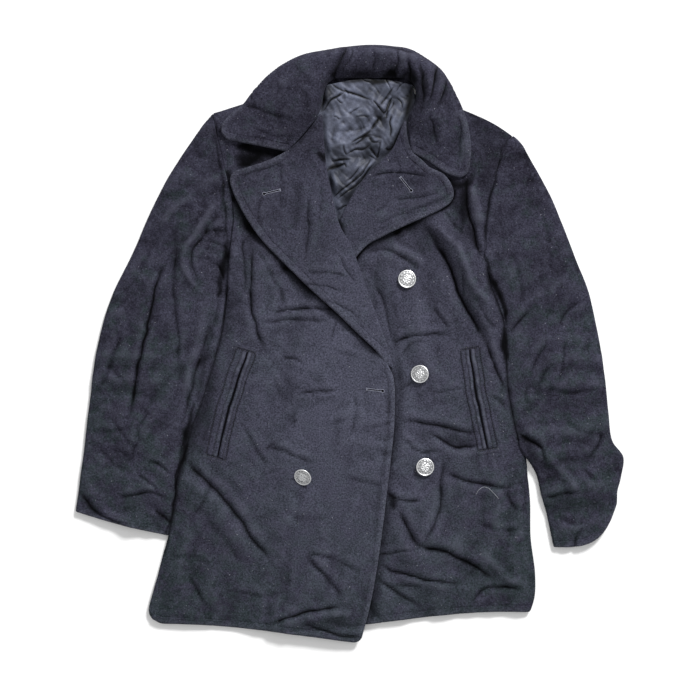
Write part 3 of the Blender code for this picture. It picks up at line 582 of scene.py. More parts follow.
HOLLOWS_COLLAR = [
    (0.97, 4.5, (-28, 792, -14, 797, 0, 794, 17, 798, 34, 794, 48, 797, 58, 804, 65, 795, 76, 797,
                 86, 804, 92, 787)),
    (0.6, 6, (-23, 802, -14, 815, -4, 835)),
    (0.92, 6, (97, 812, 102, 795, 104, 776, 99, 744)),
    (0.8, 5, (123, 818, 120, 795, 116, 776, 103, 744)),
    (0.6, 5, (135, 792, 131, 773, 121, 753)),
    (0.75, 5, (-6, 840, -13, 823, -20, 809, -28, 792)),
    (0.4, 5, (32, 829, 35, 818, 30, 804)),
    (0.9, 4, (58, 790, 58, 798, 59, 811)),
    (0.95, 7, (90, 770, 89, 787, 86, 801, 82, 815)),
    (0.85, 4, (-14, 790, -21, 795, -27, 804)),
    (0.6, 5, (23, 792, 31, 797, 42, 795)),
    (0.5, 9, (-28, 795, -37, 767, -39, 747)),
    (0.5, 8, (87, 795, 94, 776, 96, 753)),
    (0.5, 6, (54, 804, 61, 809, 68, 801)),
    (0.35, 9, (110, 739, 117, 722, 118, 705)),
    (0.3, 9, (106, 807, 110, 787, 104, 764)),
    (0.3, 10, (-141, 747, -113, 739, -82, 729)),
]
HOLLOWS_LINING = [
    (0.97, 4.5, (-30, 791, -14, 792, 0, 790, 17, 792, 34, 790, 48, 791, 58, 794, 65, 790, 76, 790,
                 86, 792, 92, 778)),
    (0.8, 9, (-28, 787, -35, 767, -41, 747)),
    (0.5, 4, (-39, 744, -39, 711, -37, 682)),
    (0.85, 6, (90, 787, 86, 767, 78, 742)),
    (0.55, 7, (73, 725, 59, 697, 28, 666)),
    (0.6, 5, (23, 660, -3, 629, -17, 598)),
    (0.97, 5, (-17, 601, -17, 589, -17, 578)),
    (0.95, 3, (-34, 664, -23, 670, -10, 675)),
    (0.85, 3, (41, 739, 37, 732, 30, 723)),
    (0.85, 2.6, (48, 739, 51, 739, 54, 739)),
    (0.85, 2.6, (49, 697, 55, 695, 61, 697)),
    (0.45, 8, (54, 787, 70, 784, 85, 778)),
    (0.95, 1.7, (-39, 746, -30, 759, -20, 768, -8, 776)),
    (0.93, 1.6, (-24, 785, -13, 778, 0, 774, 14, 770, 32, 764)),
    (0.9, 1.5, (32, 764, 41, 754, 48, 746, 54, 757, 62, 768)),
    (0.93, 1.7, (31, 723, 20, 713, 11, 708, 0, 704)),
    (0.9, 1.6, (32, 713, 23, 713, 16, 706, 7, 701)),
    (0.9, 1.5, (27, 712, 34, 705, 44, 704)),
    (0.9, 1.7, (30, 682, 21, 667, 11, 656, 0, 646, -13, 636, -23, 625)),
    (0.85, 1.5, (39, 680, 27, 667, 18, 656, 7, 643, -6, 633, -18, 623)),
    (0.9, 1.4, (28, 698, 35, 689, 39, 680)),
    (0.85, 1.4, (-4, 689, 8, 695, 20, 695, 28, 701)),
    (0.85, 1.4, (-24, 678, -13, 681, 3, 680)),
    (0.9, 1.5, (-18, 608, -8, 615, 4, 619)),
    (0.85, 1.4, (63, 783, 54, 770, 44, 759)),
    (0.45, 7, (37, 778, 42, 759, 42, 730, 39, 694)),
    (0.4, 7, (-20, 637, 3, 657, 23, 677)),
]
HOLLOWS_LAPEL_OVER = [
    (0.97, 4.5, (-48, 691, -41, 684, -35, 675)),
    (0.35, 8, (-70, 651, -73, 623, -76, 581)),
    (0.4, 5, (-87, 691, -70, 709, -48, 736)),
    (0.3, 6, (-56, 623, -58, 588, -62, 553)),
]
HOLLOWS_LAPEL_UNDER = [
    (0.9, 5, (-17, 603, -16, 592, -8, 572)),
    (0.45, 5, (80, 733, 83, 711, 86, 691)),
    (0.3, 8, (48, 657, 78, 656, 113, 653)),
]

MELTON = 2.8          # one cloth
TURNED = 5.0          # two cloths, sewn face to face and turned out
SATIN = 1.0

BACK_LEVEL = MELTON / 2
EDGE_LEVEL = MELTON + SEAM_GAP + MELTON / 2
OVER_STEP = MELTON + LAY_GAP
LAPEL_STEP = MELTON / 2 + LAY_GAP + TURNED / 2

EDGE_STITCH = 7.5     # distance of the edge stitching from the edges
STITCH_SINK = 0.15    # of the edge stitching into the cloth
BEAD_HEIGHT = 0.30    # of the plump edge outside of that stitching
HELD_WIDTH = 2.6      # of the groove that the stitching makes
FACETS = (118.0, 84.0, 61.0, 44.0, 31.0, 21.0)       # breadths of the facets of packed melton
SATIN_FACETS = (60.0, 40.0, 27.0, 18.0, 12.0, 8.0)   # and of crushed satin
# Cross-sections of a valley with its two ridges, of its painted dark line and of a ridge alone, in
# widths of the crease: bells with their height, place and width
VALLEY = [(0.36, 0.80, 0.75), (0.12, -0.90, 0.70), (-0.58, 0.0, 0.30)]
VALLEY_DARK = [(0.68, 0.0, 0.22)]
RIDGE = [(0.8, 0.0, 0.7)]
DARK_RISE = (1.6, 5.8)     # between these rises the painted shade of a valley goes from none to its darkest
# How far creases and hollows stray from their paths and over what length, and how many of their
# widths they reach to each side
CREASE_SWAY, CREASE_REACH = (1.6, 15.0), 2.6
HOLLOW_SWAY, HOLLOW_REACH = (1.8, 13.0), 3.0
SHARP_HOLLOW = 0.9    # strength from which the painted shade of a hollow has a sharper edge
MELTON_STEEP = 0.095  # height of a facet for its breadth, in melton and in satin
SATIN_STEEP = 0.24
SATIN_PLUMP = 3.0     # how far the crushed lining stands off the plain one
# Seeds of all that is random
SEEDS = {"front_over": 11, "front_under": 23, "collar": 47, "lining": 95, "sway": 7, "bead": 19,
         "collar_patches": 61, "pocket_edge": 5, "pocket_wear": 3, "lint": 7}

BODY = {"left": FRONT_OVER, "right": FRONT_UNDER}    # the panel that each sleeve is sewn to
ARMHOLE_SHIFT = {"left": -0.2, "right": 0.2}
HEAD_INSET = 1.0      # of a sleeve's head, so that it meets the body
TOUCH_Y = {"left": (120.0, 150.0), "right": (250.0, 275.0)}  # from where a sleeve touches the body
TOUCH_SHADOW_Y = {"left": 120.0, "right": 275.0}
TOUCH_MOST = 12.0     # how far a sleeve's edge is moved to touch the body
TOUCH_PAST = 0.8      # and how far past its side
ARMPIT_FADE = 30.0    # below the armpit, over which it is moved less
SLEEVE_TURN = (50.0, 0.0, -50.0)    # angles round the folded edges of a sleeve
SIDE_SECTIONS = {"left": 13, "right": 11}    # sections of the body up to its armholes
CALM_SECTIONS = {"left": 14, "right": 13}    # and as far up as its creases are calmed
TURNED_EDGE = 1.1     # how much thicker the turned front edge and hem are
TURNED_REACH = 16.0   # breadth of that turning
FAR_EDGE = 99.0       # stands for no free edge
CLEAR_REACH = 8.0     # over which relief dies down under another piece
SEAM_REACH = 8.0      # over which it dies down at the neck seam of the collar
NECK_REACH = 9.0      # over which the lining's starts, inside the neck opening
# Share of the relief that is left along side edges, and how far in it is whole, on body and sleeves
CALM_BODY = (0.25, 16.0)
CALM_SLEEVE = (0.2, 12.0)
SLEEVE_CELL = 2.8
LAPEL_CELL = 2.1
LINING_CELL = 1.15
BACK_CELL = 9.0
HEM_CORNER = 16.0     # radii of the pieces' rounded corners
BREAK_CORNER = {"Front_left": 9.0, "Front_right": 3.0}
LAPEL_CORNER = 12.0
COLLAR_CORNER = 11.0
LAPEL_TAPER = 3.4     # how far the foot of a lapel sinks into the front's edge
TAPER_Y = (384.0, 450.0)
BREAK_Y = 384.0       # where the left lapel turns out of the front's edge
STITCH_BREAK = 12.0   # how far below that the edge stitching stops
STITCH_PAST = 2.0     # how far from the left front the right one's stitching starts
GORGE_REACH = 3.5     # within this of its gorge a lapel has no free edge
GORGE_STITCH = 3.0    # how far from it the stitching of the lapel stops
GORGE = {             # where a lapel is sewn to the collar, by its free side
    "left": [(-39.5, 747.3), (-53.6, 726.2), (-74.7, 705.0), (-90.2, 690.9)],
    "right": [(80.4, 736.0), (83.2, 716.3), (87.4, 689.5)],
}
LAPEL_RUMPLE = 0.5    # share of the fronts' crumpling that a lapel has, and the collar
COLLAR_RUMPLE = 0.6
COLLAR_RIBS = 310
COLLAR_ROWS = 52
FLAT_TUCK = (-16.0, -2.0)    # tucks between which a rib goes from lying flat to turning under
FLAT_FADE = 40.0      # how far the free edge draws off meanwhile
COLLAR_EASE = 40.0    # over which the ends of the collar are moved in
# Where the right notch is nearly closed: each a place, its reach, and how far the edge there moves
LAPEL_NUDGES = [(128, 654, 21, 4.5, 10.0), (102, 676, 14, 2.2, 4.4)]
COLLAR_NUDGES = [(142, 669, 30, -2.0, -8.5)]
LIE_SHADE = 0.30      # how much darker the painted shade makes cloth for each millimetre that it lies low
LIE_REACH = 13.0      # of the cloth around that it is measured against
RIDGE_HIGHLIGHT = 0.22     # share of that by which ridges are painted paler, a painted highlight
PALEST = -0.6         # painted shade at its palest, a painted highlight on ridges, where 0 is plain cloth and 1 the darkest
DARKEST = 0.985       # share of the painted deep shade in the darkest places
COLLAR_LIE = 9        # the same in cells for the collar, and with its shade for satin
SATIN_LIE = (4, 0.55)
SATIN_DARK = 3.2      # how much darker the painted shade of creases is in satin than in melton
SIDE_SHADOW = (0.85, 2.2)   # strength and breadth of the painted shadow line where a front meets a sleeve
SLEEVE_SHADOW = 0.9   # strength of that painted shadow on the sleeve
CUFF_BULGE = (0.35, 6.0, 5.0)   # height, place and width of the plump turned edge of a cuff
# Reach of each pocket's welts from its slit, towards the front edge and towards the side seam
WELT_REACH = {"left": (11.5, 16.5), "right": (13.5, 14.0)}
POCKET_GAPE = (1.8, 0.9)    # half the breadth of a slit at its ends, and what it gains in the middle
WELT_MARGIN = 5.0     # cloth of a pocket beyond its welts
END_MARGIN = 9.0      # and beyond the ends of its slit
WELT_STEP = 0.7       # cells of a pocket, across and along its slit
END_STEP = 1.6
LIP_ROWS = (-7.6, 6.6)    # stitch rows beside the lips
BAR_ROWS = 2          # cells between the two stitch rows of a pocket's end
WELT_DOWN = 0.3       # how far the cloth of a pocket reaches into its front

# Stitches, with their pitch and their own length, breadth and height
Stitch = namedtuple("Stitch", "pitch length width height", defaults=(0.35,))
EDGE_SHARE = 0.78     # length of a stitch of the edges, as a share of their pitch
POCKET_STITCH = Stitch(2.9, 2.3, 0.65)
BAG_STITCH = Stitch(3.4, 2.2, 0.7)
PURL_STITCH = Stitch(0.85, 1.2, 0.7, 0.6)
LOOSE_TWIST = Stitch(0.8, 1.3, 0.55, 0.5)

# Each on its piece, from the middle of its eye to the end of its slit
Buttonhole = namedtuple("Buttonhole", "on eye_x eye_y end_x end_y")
BUTTONHOLES = [
    Buttonhole("Lapel_left", -121, 631.5, -98.5, 637),
    Buttonhole("Lapel_right", 86, 636, 71, 654.5),
    Buttonhole("Front_left", 46, 354, 24, 356.5),
]
# Outlines of a buttonhole: radius of the eye, half the breadth of the slit, where along it the slit
# starts and how far it stops short of its end, the angles round the eye, and the points of a side
Keyhole = namedtuple("Keyhole", "radius half start short angles count")
PURL = Keyhole(2.2, 1.15, 2.6, 0.0, np.linspace(35.0, 325.0, 15), 12)
# SLIT outlines the near-black sheet of painted shade in each slit
SLIT = Keyhole(1.75, 0.55, 1.9, 0.6, np.linspace(25.0, 325.0, 16), 10)
PURL_BAR = (-1.9, -0.6, 0.6, 1.9)    # points of the bar across the end of a slit
PURL_RISE = 0.10      # over the cloth, of the purl, of the slit's edge and of its middle
SLIT_RISE = 0.14
SPINE_RISE = 0.16
# Level axis that a button leans about, and how far, in degrees
BUTTON_TILT = {
    "button_top": (1, 0.3, 4),
    "button_middle": (0.4, -1, 10),
    "button_lower": (1, 0.5, 6),
    "button_over": (0.79, -0.61, 32),
}
TILT_LIFT = 0.6       # how far a leaning button stands clear, as a share of what it sinks
BUTTON_AROUND = 120   # points round a button
BUTTON_FACE = 44      # rings of its face
# Rings of a button's back, each with its share of the radius and of the height
BUTTON_BACK = [(1.0, 0.62), (0.97, 0.50), (0.90, 0.42), (0.55, 0.37), (0.30, 0.35), (0.28, 0.30),
               (0.28, 0.0), (0.02, 0.0)]
BEADS = 13
POCKET_BAG_LINE = [(151, 156.5), (156.5, 144.5), (180.5, 146.6), (207, 146.6), (234, 146.6)]
LOOSE_THREAD = [(177.7, 208.7), (181.5, 214.5), (187.5, 218.5), (194, 217.5), (200.5, 212), (208.7, 203)]
LINT_DENSITY = {      # fibres on each square metre
    "Front_left": 110.0, "Front_right": 110.0, "Sleeve_left": 70.0, "Sleeve_right": 70.0,
    "Lapel_left": 160.0, "Lapel_right": 160.0, "Collar": 120.0,
}

# The stage, in metres and watts, and its camera's sensor in millimetres
BOARD_HALF = 40.0
SENSOR = 36.0
CAMERA_HEIGHT = 3.0
FRAME_WIDTH = 0.987   # what the camera takes in across, at the height of the cloth
FRAME_MIDDLE = (0.00195, -0.0082)
ROOM_LIGHT = 0.60
LAMPS = [             # each a name, a place, its power and its size
    ("Key_light", (3.4, 6.1, 4.5), 960.0, 2.2),
    ("Top_light", (0.0, 0.0, 3.6), 9.0, 2.2),
]


def eased(low, high, value):
    """0 below low, 1 above high, and a smooth rise between them."""
    t = np.clip((value - low) / (high - low), 0.0, 1.0)
    return t * t * (3.0 - 2.0 * t)


def bell(x, centre, width):
    """1 at the centre, falling off on both sides of it over about the given width."""
    return np.exp(-(((x - centre) / width) ** 2))


def bells(x, rows):
    """Sum of some bells, each with its height, its centre and its width."""
    return sum(height * bell(x, centre, width) for height, centre, width in rows)


def calmed(gap, least, reach):
    """The least share on an edge, and all from some way inside it."""
    return least + (1 - least) * eased(0.0, reach, gap)


def rounding(gap, reach):
    """0 on an edge and 1 from some way inside it, along a quarter of an ellipse."""
    return np.sqrt(1.0 - (1.0 - np.clip(gap / reach, 0.0, 1.0)) ** 2)


def through_rows(rows, places):
    """Smooth curve through the rows of a table, read at fractional row numbers."""
    rows = np.asarray(rows, dtype=float)
    last = len(rows) - 1
    start = np.clip(np.floor(places).astype(int), 0, last - 1)
    t = (places - start)[:, None]
    before, first = rows[np.maximum(start - 1, 0)], rows[start]
    second, after = rows[start + 1], rows[np.minimum(start + 2, last)]
    slope_first = (second - before) / 2
    slope_second = (after - first) / 2
    return ((2 * t**3 - 3 * t**2 + 1) * first + (t**3 - 2 * t**2 + t) * slope_first
            + (3 * t**2 - 2 * t**3) * second + (t**3 - t**2) * slope_second)


def run_of(points, axis=0):
    """Distance along lines of points, from the first point of each."""
    steps = np.linalg.norm(np.diff(points, axis=axis), axis=-1)
    return np.insert(np.cumsum(steps, axis=axis), 0, 0.0, axis=axis)


def resampled(lines, run, wanted):
    """The places at the wanted distances along each line of a grid."""
    moved = np.empty((len(wanted),) + lines.shape[1:])
    for i in range(lines.shape[1]):
        for k in range(lines.shape[2]):
            moved[:, i, k] = np.interp(wanted[:, i], run[:, i], lines[:, i, k])
    return moved


def even_places(rows, count):
    """Fractional row numbers that divide the length of a table's piece evenly."""
    rows = np.asarray(rows, dtype=float)
    run = run_of(rows[:, 0:2]) + run_of(rows[:, 2:4]) + 2 * run_of(rows[:, 4:5])
    return np.interp(np.linspace(0.0, run[-1], count), run, np.arange(len(rows)))


def plan_grid(sections, cells):
    """Points of a piece on the laying surface, one line of them for each section."""
    across, along = cells
    rows = through_rows(sections, even_places(sections, along + 1))
    left, right, bow, bow_at = rows[:, None, 0:2], rows[:, None, 2:4], rows[:, 4:5], rows[:, 5:6]
    u = np.linspace(0.0, 1.0, across + 1)[None, :]
    line = left + (right - left) * u[:, :, None]
    run = (right - left)[:, 0]
    side = np.stack([-run[:, 1], run[:, 0]], axis=1) / np.hypot(run[:, 0], run[:, 1])[:, None]
    swell = np.sin(math.pi * u ** (math.log(0.5) / np.log(bow_at)))
    return line + side[:, None, :] * (bow * swell)[:, :, None]


def fine_plan(sections, cell):
    """A piece's plan in cells of about the given size."""
    rough = plan_grid(sections, (12, 24))
    across, along = run_of(rough, axis=1)[:, -1].max(), run_of(rough)[-1].max()
    return plan_grid(sections, (round(across / cell), round(along / cell)))


def inset_plan(plan, inset, first=None):
    """Move a plan's outer lines inwards, and its other lines less and less towards the middle.

    Its first line is moved by another distance where that is given.
    """
    for axis in (0, 1):
        lines = plan if axis == 0 else plan.transpose(1, 0, 2)
        start = inset if first is None or axis == 1 else first
        run = run_of(lines)
        wanted = start + run / run[-1] * (run[-1] - inset - start)
        moved = resampled(lines, run, wanted)
        plan = moved if axis == 0 else moved.transpose(1, 0, 2)
    return plan


def end_inset(points, inset):
    """Move the first and last line of a grid inwards along it, to leave room for rims."""
    run = run_of(points)
    ends = np.exp(-run / COLLAR_EASE) - np.exp(-(run[-1] - run) / COLLAR_EASE)
    return resampled(points, run, run + inset * ends)


def nudged(points, nudges):
    """Move parts of a grid level by a few millimetres, fading out around each place."""
    moved = points.copy()
    for place_x, place_y, reach, shift_x, shift_y in nudges:
        near = np.hypot(points[:, :, 0] - place_x, points[:, :, 1] - place_y)
        moved[:, :, :2] += bell(near, 0.0, reach)[:, :, None] * (shift_x, shift_y)
    return moved


def round_corner(grid, last_row, last_column, radius):
    """Round one corner of a grid of points, as a square is drawn into a disc."""
    turned = grid[::-1] if last_row else grid
    turned = turned[:, ::-1] if last_column else turned
    moved = turned.copy()
    shares = [np.clip(1.0 - run_of(turned, axis) / radius, 0.0, 1.0) for axis in (0, 1)]
    for axis, (share, other) in enumerate((shares, shares[::-1])):
        ahead = np.gradient(turned, axis=axis)
        ahead = ahead / np.linalg.norm(ahead, axis=2, keepdims=True)
        moved += ahead * (radius * share * (1.0 - np.sqrt(1.0 - other**2 / 2)))[:, :, None]
    moved = moved[:, ::-1] if last_column else moved
    return moved[::-1] if last_row else moved


def border(grid):
    """What lies along the edge of a grid, anticlockwise from its first place."""
    return np.concatenate([grid[0, :-1], grid[:-1, -1], grid[-1, :0:-1], grid[:0:-1, 0]])


def ends_on(side, sections):
    """The places where sections end on one side."""
    return [(s.left_x, s.left_y) if side == "left" else (s.right_x, s.right_y) for s in sections]


def edge_x(sections, side, y):
    """X of a piece's left or right edge at each Y."""
    ends = np.array(ends_on(side, sections))
    return np.interp(y, ends[:, 1], ends[:, 0])


def signed_gap(x, y, line):
    """Distance to a line of points, negative on its right, and where along it, from 0 to 1."""
    nearest = np.full(x.shape, np.inf)
    where = np.zeros(x.shape)
    side = np.ones(x.shape)
    for i, ((ax, ay), (bx, by)) in enumerate(zip(line[:-1], line[1:])):
        run_x, run_y = bx - ax, by - ay
        t = np.clip(((x - ax) * run_x + (y - ay) * run_y) / (run_x**2 + run_y**2), 0.0, 1.0)
        off_x, off_y = x - ax - t * run_x, y - ay - t * run_y
        gap = np.hypot(off_x, off_y)
        closer = gap < nearest
        nearest = np.where(closer, gap, nearest)
        where = np.where(closer, (i + t) / (len(line) - 1), where)
        side = np.where(closer, np.where(run_x * off_y < run_y * off_x, -1.0, 1.0), side)
    return nearest * side, where


def distance_to(x, y, *lines):
    """Distance to the nearest of some lines of points."""
    return np.min([np.abs(signed_gap(x, y, line)[0]) for line in lines], axis=0)


def inside(x, y, outline):
    """True for points that lie in an outline on the laying surface."""
    within = np.zeros(x.shape, dtype=bool)
    for (ax, ay), (bx, by) in zip(outline, np.roll(outline, -1, axis=0)):
        crosses = (ay > y) != (by > y)
        rise = by - ay if by != ay else 1.0
        within ^= crosses & (x < (bx - ax) * (y - ay) / rise + ax)
    return within


def depth_in(x, y, outline):
    """How far inside an outline each point lies, negative outside of it."""
    gap = distance_to(x, y, np.concatenate([outline, outline[:1]]))
    return np.where(inside(x, y, outline), gap, -gap)


def clear_of(x, y, outline):
    """1 outside of an outline, 0 from some way inside it, so that nothing stands up under a piece."""
    return 1.0 - eased(0.0, CLEAR_REACH, depth_in(x, y, outline))


def fold_height(x, y, folds, pieces=8):
    """Sum of the ridges and troughs at each point, each fading out towards its two ends."""
    height = np.zeros(x.shape)
    for fold in folds:
        t = np.linspace(0.0, 1.0, pieces + 1)[:, None]
        start = np.array([fold.from_x, fold.from_y], dtype=float)
        end = np.array([fold.to_x, fold.to_y], dtype=float)
        control = 2 * np.array([fold.mid_x, fold.mid_y]) - (start + end) / 2
        line = (1 - t) ** 2 * start + 2 * t * (1 - t) * control + t**2 * end
        gap, where = signed_gap(x, y, line)
        height += fold.height * bell(gap, 0.0, fold.width) * np.sin(math.pi * where) ** 0.7
    return height


def body_side(side):
    """The part of the body's side edge that a sleeve lies against, from the cuff up to the armpit."""
    ends = ends_on(side, BODY[side])
    line = through_rows(ends, np.linspace(0.0, len(ends) - 1, 5 * len(ends)))
    return line[(line[:, 1] > TOUCH_SHADOW_Y[side]) & (line[:, 1] < ARMPIT_Y[side] + 6.0)]


BODY_EDGES = [
    *(ends_on(side, BODY[side][:SIDE_SECTIONS[side]]) for side in BODY),
    *([*ends_on("left", [section]), *ends_on("right", [section])]
      for section in (FRONT_OVER[-1], FRONT_UNDER[-1], FRONT_OVER[0], FRONT_UNDER[0])),
]


def fall_lift(x, y):
    """Rise of everything that lies over the collar's fall, behind the neck."""
    window = eased(*LIFT_LEFT, x) * (1 - eased(*LIFT_RIGHT, x))
    return FALL_LIFT * eased(*LIFT_RISE, y) * window


def body_level(x, y):
    """A front on its own: rounded along the outer edges of the body."""
    return EDGE_LEVEL + PUFF * rounding(distance_to(x, y, *BODY_EDGES), EDGE_ROUND) + fall_lift(x, y)


def back_level(x, y):
    """The flat back, with its rise behind the neck."""
    return BACK_LEVEL + fall_lift(x, y)


def lining_level(x, y):
    """The lining on the back, with its broad folds."""
    return MELTON + LINING_ROOM + SATIN / 2 + fall_lift(x, y) + fold_height(x, y, FOLDS_LINING)


def past_over(x, y):
    """0 where the left front hides the right one, and 1 from a little past its edge."""
    return eased(*SHOWN_PAST, x - edge_x(FRONT_OVER, "right", y))


def under_level(x, y):
    """The right front, plain where the left front hides it."""
    shown = np.maximum(past_over(x, y), eased(*SHOWN_NECK, y))
    return body_level(x, y) + fold_height(x, y, FOLDS_UNDER) * shown


def over_level(x, y):
    """The left front, which climbs over the right front and over its lapel."""
    level = body_level(x, y) + fold_height(x, y, FOLDS_OVER)
    together = 1 - eased(*NECK_PARTING, y)
    on_under = together * eased(*CLIMB_FRONT, x - edge_x(FRONT_UNDER, "left", y))
    on_lapel = together * eased(*CLIMB_LAPEL, x - edge_x(LAPEL_UNDER, "left", y))
    on_lapel = on_lapel * (1 - eased(*LEAVE_LAPEL, x - edge_x(LAPEL_UNDER, "right", y)))
    on_lapel = on_lapel * eased(*LAPEL_FOOT, y)
    stacked = under_level(x, y) + OVER_STEP + (TURNED + LAY_GAP) * on_lapel
    return level + np.maximum(stacked - level, 0.0) * on_under


def value_noise(x, y, size, seed, count=128):
    """Smooth random bumps of about the given size, from -1 to 1."""
    table = np.random.default_rng(seed).uniform(-1.0, 1.0, (count, count))
    across, along = x / size + 40.0, y / size + 40.0
    left, low = np.floor(across).astype(int), np.floor(along).astype(int)
    t, s = across - left, along - low
    t, s = t * t * (3.0 - 2.0 * t), s * s * (3.0 - 2.0 * s)
    left, right = left % count, (left + 1) % count
    low, high = low % count, (low + 1) % count
    first = table[left, low] * (1 - t) + table[right, low] * t
    second = table[left, high] * (1 - t) + table[right, high] * t
    return first * (1 - s) + second * s


def swayed(x, y, reach, size):
    """Places that are moved a little at random, so that no line drawn there runs true."""
    seed = SEEDS["sway"]
    return (x + reach * value_noise(x, y, size, seed), y + reach * value_noise(x, y, size, seed + 1))


def near_path(x, y, path, reach):
    """Which points lie near a smooth path, how far to its left, and where along it."""
    corners = np.reshape(path, (-1, 2))
    line = through_rows(corners, np.linspace(0.0, len(corners) - 1, 3 * len(corners)))
    low, high = line.min(axis=0) - reach, line.max(axis=0) + reach
    close = (x > low[0]) & (x < high[0]) & (y > low[1]) & (y < high[1])
    gap, where = signed_gap(x[close], y[close], line)
    return close, gap, where


def crease_relief(x, y, creases):
    """Height and painted shade of creases, each with its rise, its width and its path.

    A crease is a sharp valley with a low ridge along its left. Where its rise is negative it is a
    ridge alone.
    """
    x, y = swayed(x, y, *CREASE_SWAY)
    height, shade = np.zeros(x.shape), np.zeros(x.shape)
    for rise, width, path in creases:
        close, gap, where = near_path(x, y, path, CREASE_REACH * width)
        gap = gap / width
        fade = eased(0.0, 0.25, where) * (1.0 - eased(0.75, 1.0, where))
        if rise > 0:
            dark = np.interp(rise, DARK_RISE, (0.0, 1.0))
            shade[close] = np.maximum(shade[close], dark * bells(gap, VALLEY_DARK) * fade)
        height[close] += abs(rise) * bells(gap, VALLEY if rise > 0 else RIDGE) * fade
    return height, shade


def crumple(x, y, seed, sizes, steep):
    """Relief of cloth that has been crushed: flat facets between sharp straight creases."""
    random = np.random.default_rng(seed)
    height = np.zeros(x.shape)
    for number, size in enumerate(sizes):
        angle, phase = random.uniform(0.0, math.pi), random.uniform(0.0, 1.0)
        across = (x * math.cos(angle) + y * math.sin(angle)) / size + phase
        across = across + 0.55 * value_noise(x, y, 1.4 * size, seed + number)
        part = np.clip(0.45 + 0.9 * value_noise(x, y, 1.2 * size, seed + 20 + number), 0.0, 1.0)
        height += steep * size * (np.abs(across - np.round(across)) - 0.25) * part
    return height


def rumple(x, y, seed):
    """Relief of thick cloth that was packed away: broad swells and flat facets between soft creases."""
    turned_x, turned_y = 0.8 * x - 0.6 * y, 0.6 * x + 0.8 * y
    swell = 0.9 * value_noise(x, y, 62.0, seed) + 0.55 * value_noise(turned_x, turned_y, 29.0, seed + 1)
    facets = crumple(x, y, seed + 2, FACETS, MELTON_STEEP)
    return swell + facets + 0.2 * value_noise(x, y, 11.0, seed + 5)


def grid_normals(points, wrap=False):
    """Unit normals of a grid of points, which may close on itself across its columns."""
    if wrap:
        across = np.roll(points, -1, axis=1) - np.roll(points, 1, axis=1)
    else:
        across = np.gradient(points, axis=1)
    along = np.gradient(points, axis=0)
    normals = np.cross(across, along)
    return normals / np.linalg.norm(normals, axis=2, keepdims=True)


def upper_side(points, rise):
    """A grid that is raised along its normals, to the face of its cloth."""
    return points + grid_normals(points) * rise


def raised(places, surface, rise=0.0):
    """Level places of a line or a grid, raised onto a surface."""
    height = surface(places[..., 0], places[..., 1]) + rise
    return np.concatenate([places, height[..., None]], axis=-1)


def closed_wall(points, up, down, wrap, rim):
    """Vertices and faces of a closed wall with round rims about a grid, and the rings of its edges."""
    rows, columns = points.shape[:2]
    flat = points.reshape(-1, 3)
    normals = grid_normals(points, wrap).reshape(-1, 3)
    top = flat + normals * np.broadcast_to(up, (rows, columns)).reshape(-1, 1)
    bottom = flat - normals * np.broadcast_to(down, (rows, columns)).reshape(-1, 1)
    number = np.arange(rows * columns).reshape(rows, columns)
    rings = [number[0], number[-1, ::-1]] if wrap else [border(number)]
    near = np.concatenate([number, number[:, :1]], axis=1) if wrap else number
    here, after = near[:-1, :-1].ravel(), near[:-1, 1:].ravel()
    above, beyond = near[1:, :-1].ravel(), near[1:, 1:].ravel()
    quads = [np.stack([here, after, beyond, above], axis=1)]
    quads.append(np.stack([here, above, beyond, after], axis=1) + len(flat))
    places = [top, bottom]
    count = 2 * len(flat)
    for ring in rings:
        centre = (top[ring] + bottom[ring]) / 2
        reach = np.linalg.norm(top[ring] - bottom[ring], axis=1, keepdims=True) / 2
        normal = normals[ring]
        outward = np.cross(np.roll(flat[ring], -1, axis=0) - np.roll(flat[ring], 1, axis=0), normal)
        outward = outward / np.linalg.norm(outward, axis=1, keepdims=True)
        layers = [ring]
        for i in range(rim):
            angle = math.pi / 2 - math.pi * (i + 1) / (rim + 1)
            places.append(centre + reach * (normal * math.sin(angle) + outward * math.cos(angle)))
            layers.append(count + np.arange(len(ring)))
            count += len(ring)
        layers.append(ring + len(flat))
        for upper, lower in zip(layers[:-1], layers[1:]):
            quads.append(np.stack([upper, lower, np.roll(lower, -1), np.roll(upper, -1)], axis=1))
    return np.concatenate(places), np.concatenate(quads).tolist(), rings


def wall_values(values, rings, rim):
    """One value for each vertex of a closed wall, from the values of its grid."""
    flat = np.asarray(values, dtype=float).ravel()
    parts = [flat, flat]
    for ring in rings:
        parts.extend([flat[ring]] * rim)
    return np.concatenate(parts)


def place_mesh(name, places, faces, finish, values=None):
    """A finished piece in the model's frame, from places in millimetres on the laying surface."""
    mesh = bpy.data.meshes.new(name)
    mesh.from_pydata(((places - MIDDLE) * MM).tolist(), [], faces)
    for key, numbers in (values or {}).items():
        painted = mesh.attributes.new(key, "FLOAT", "POINT")
        painted.data.foreach_set("value", np.asarray(numbers, np.float32))
    mesh.materials.append(finish)
    mesh.shade_smooth()
    mesh.update()
    piece = bpy.data.objects.new(name, mesh)
    bpy.context.scene.collection.objects.link(piece)
    return piece


def cloth_piece(name, points, finish, up, down, edge=FAR_EDGE, shade=0.0, wrap=False, rim=4):
    """A closed wall of cloth on a grid, which carries two attributes for its finish.

    edge is the distance to the piece's free edges, and shade the painted shade of a place, negative where
    a highlight is painted on a ridge.
    """
    places, faces, rings = closed_wall(points, up, down, wrap, rim)
    blank = np.zeros(points.shape[:2])
    values = {
        "edge": wall_values(blank + edge, rings, rim) * MM,
        "hollow": wall_values(blank + shade, rings, rim),
    }
    return place_mesh(name, places, faces, finish, values)


def on_coat(piece, slot, *nodes):
    """Fix a piece to the coat, in place of the solids that it stands for."""
    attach(piece, "root")
    if nodes:
        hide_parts(*nodes)
    return piece


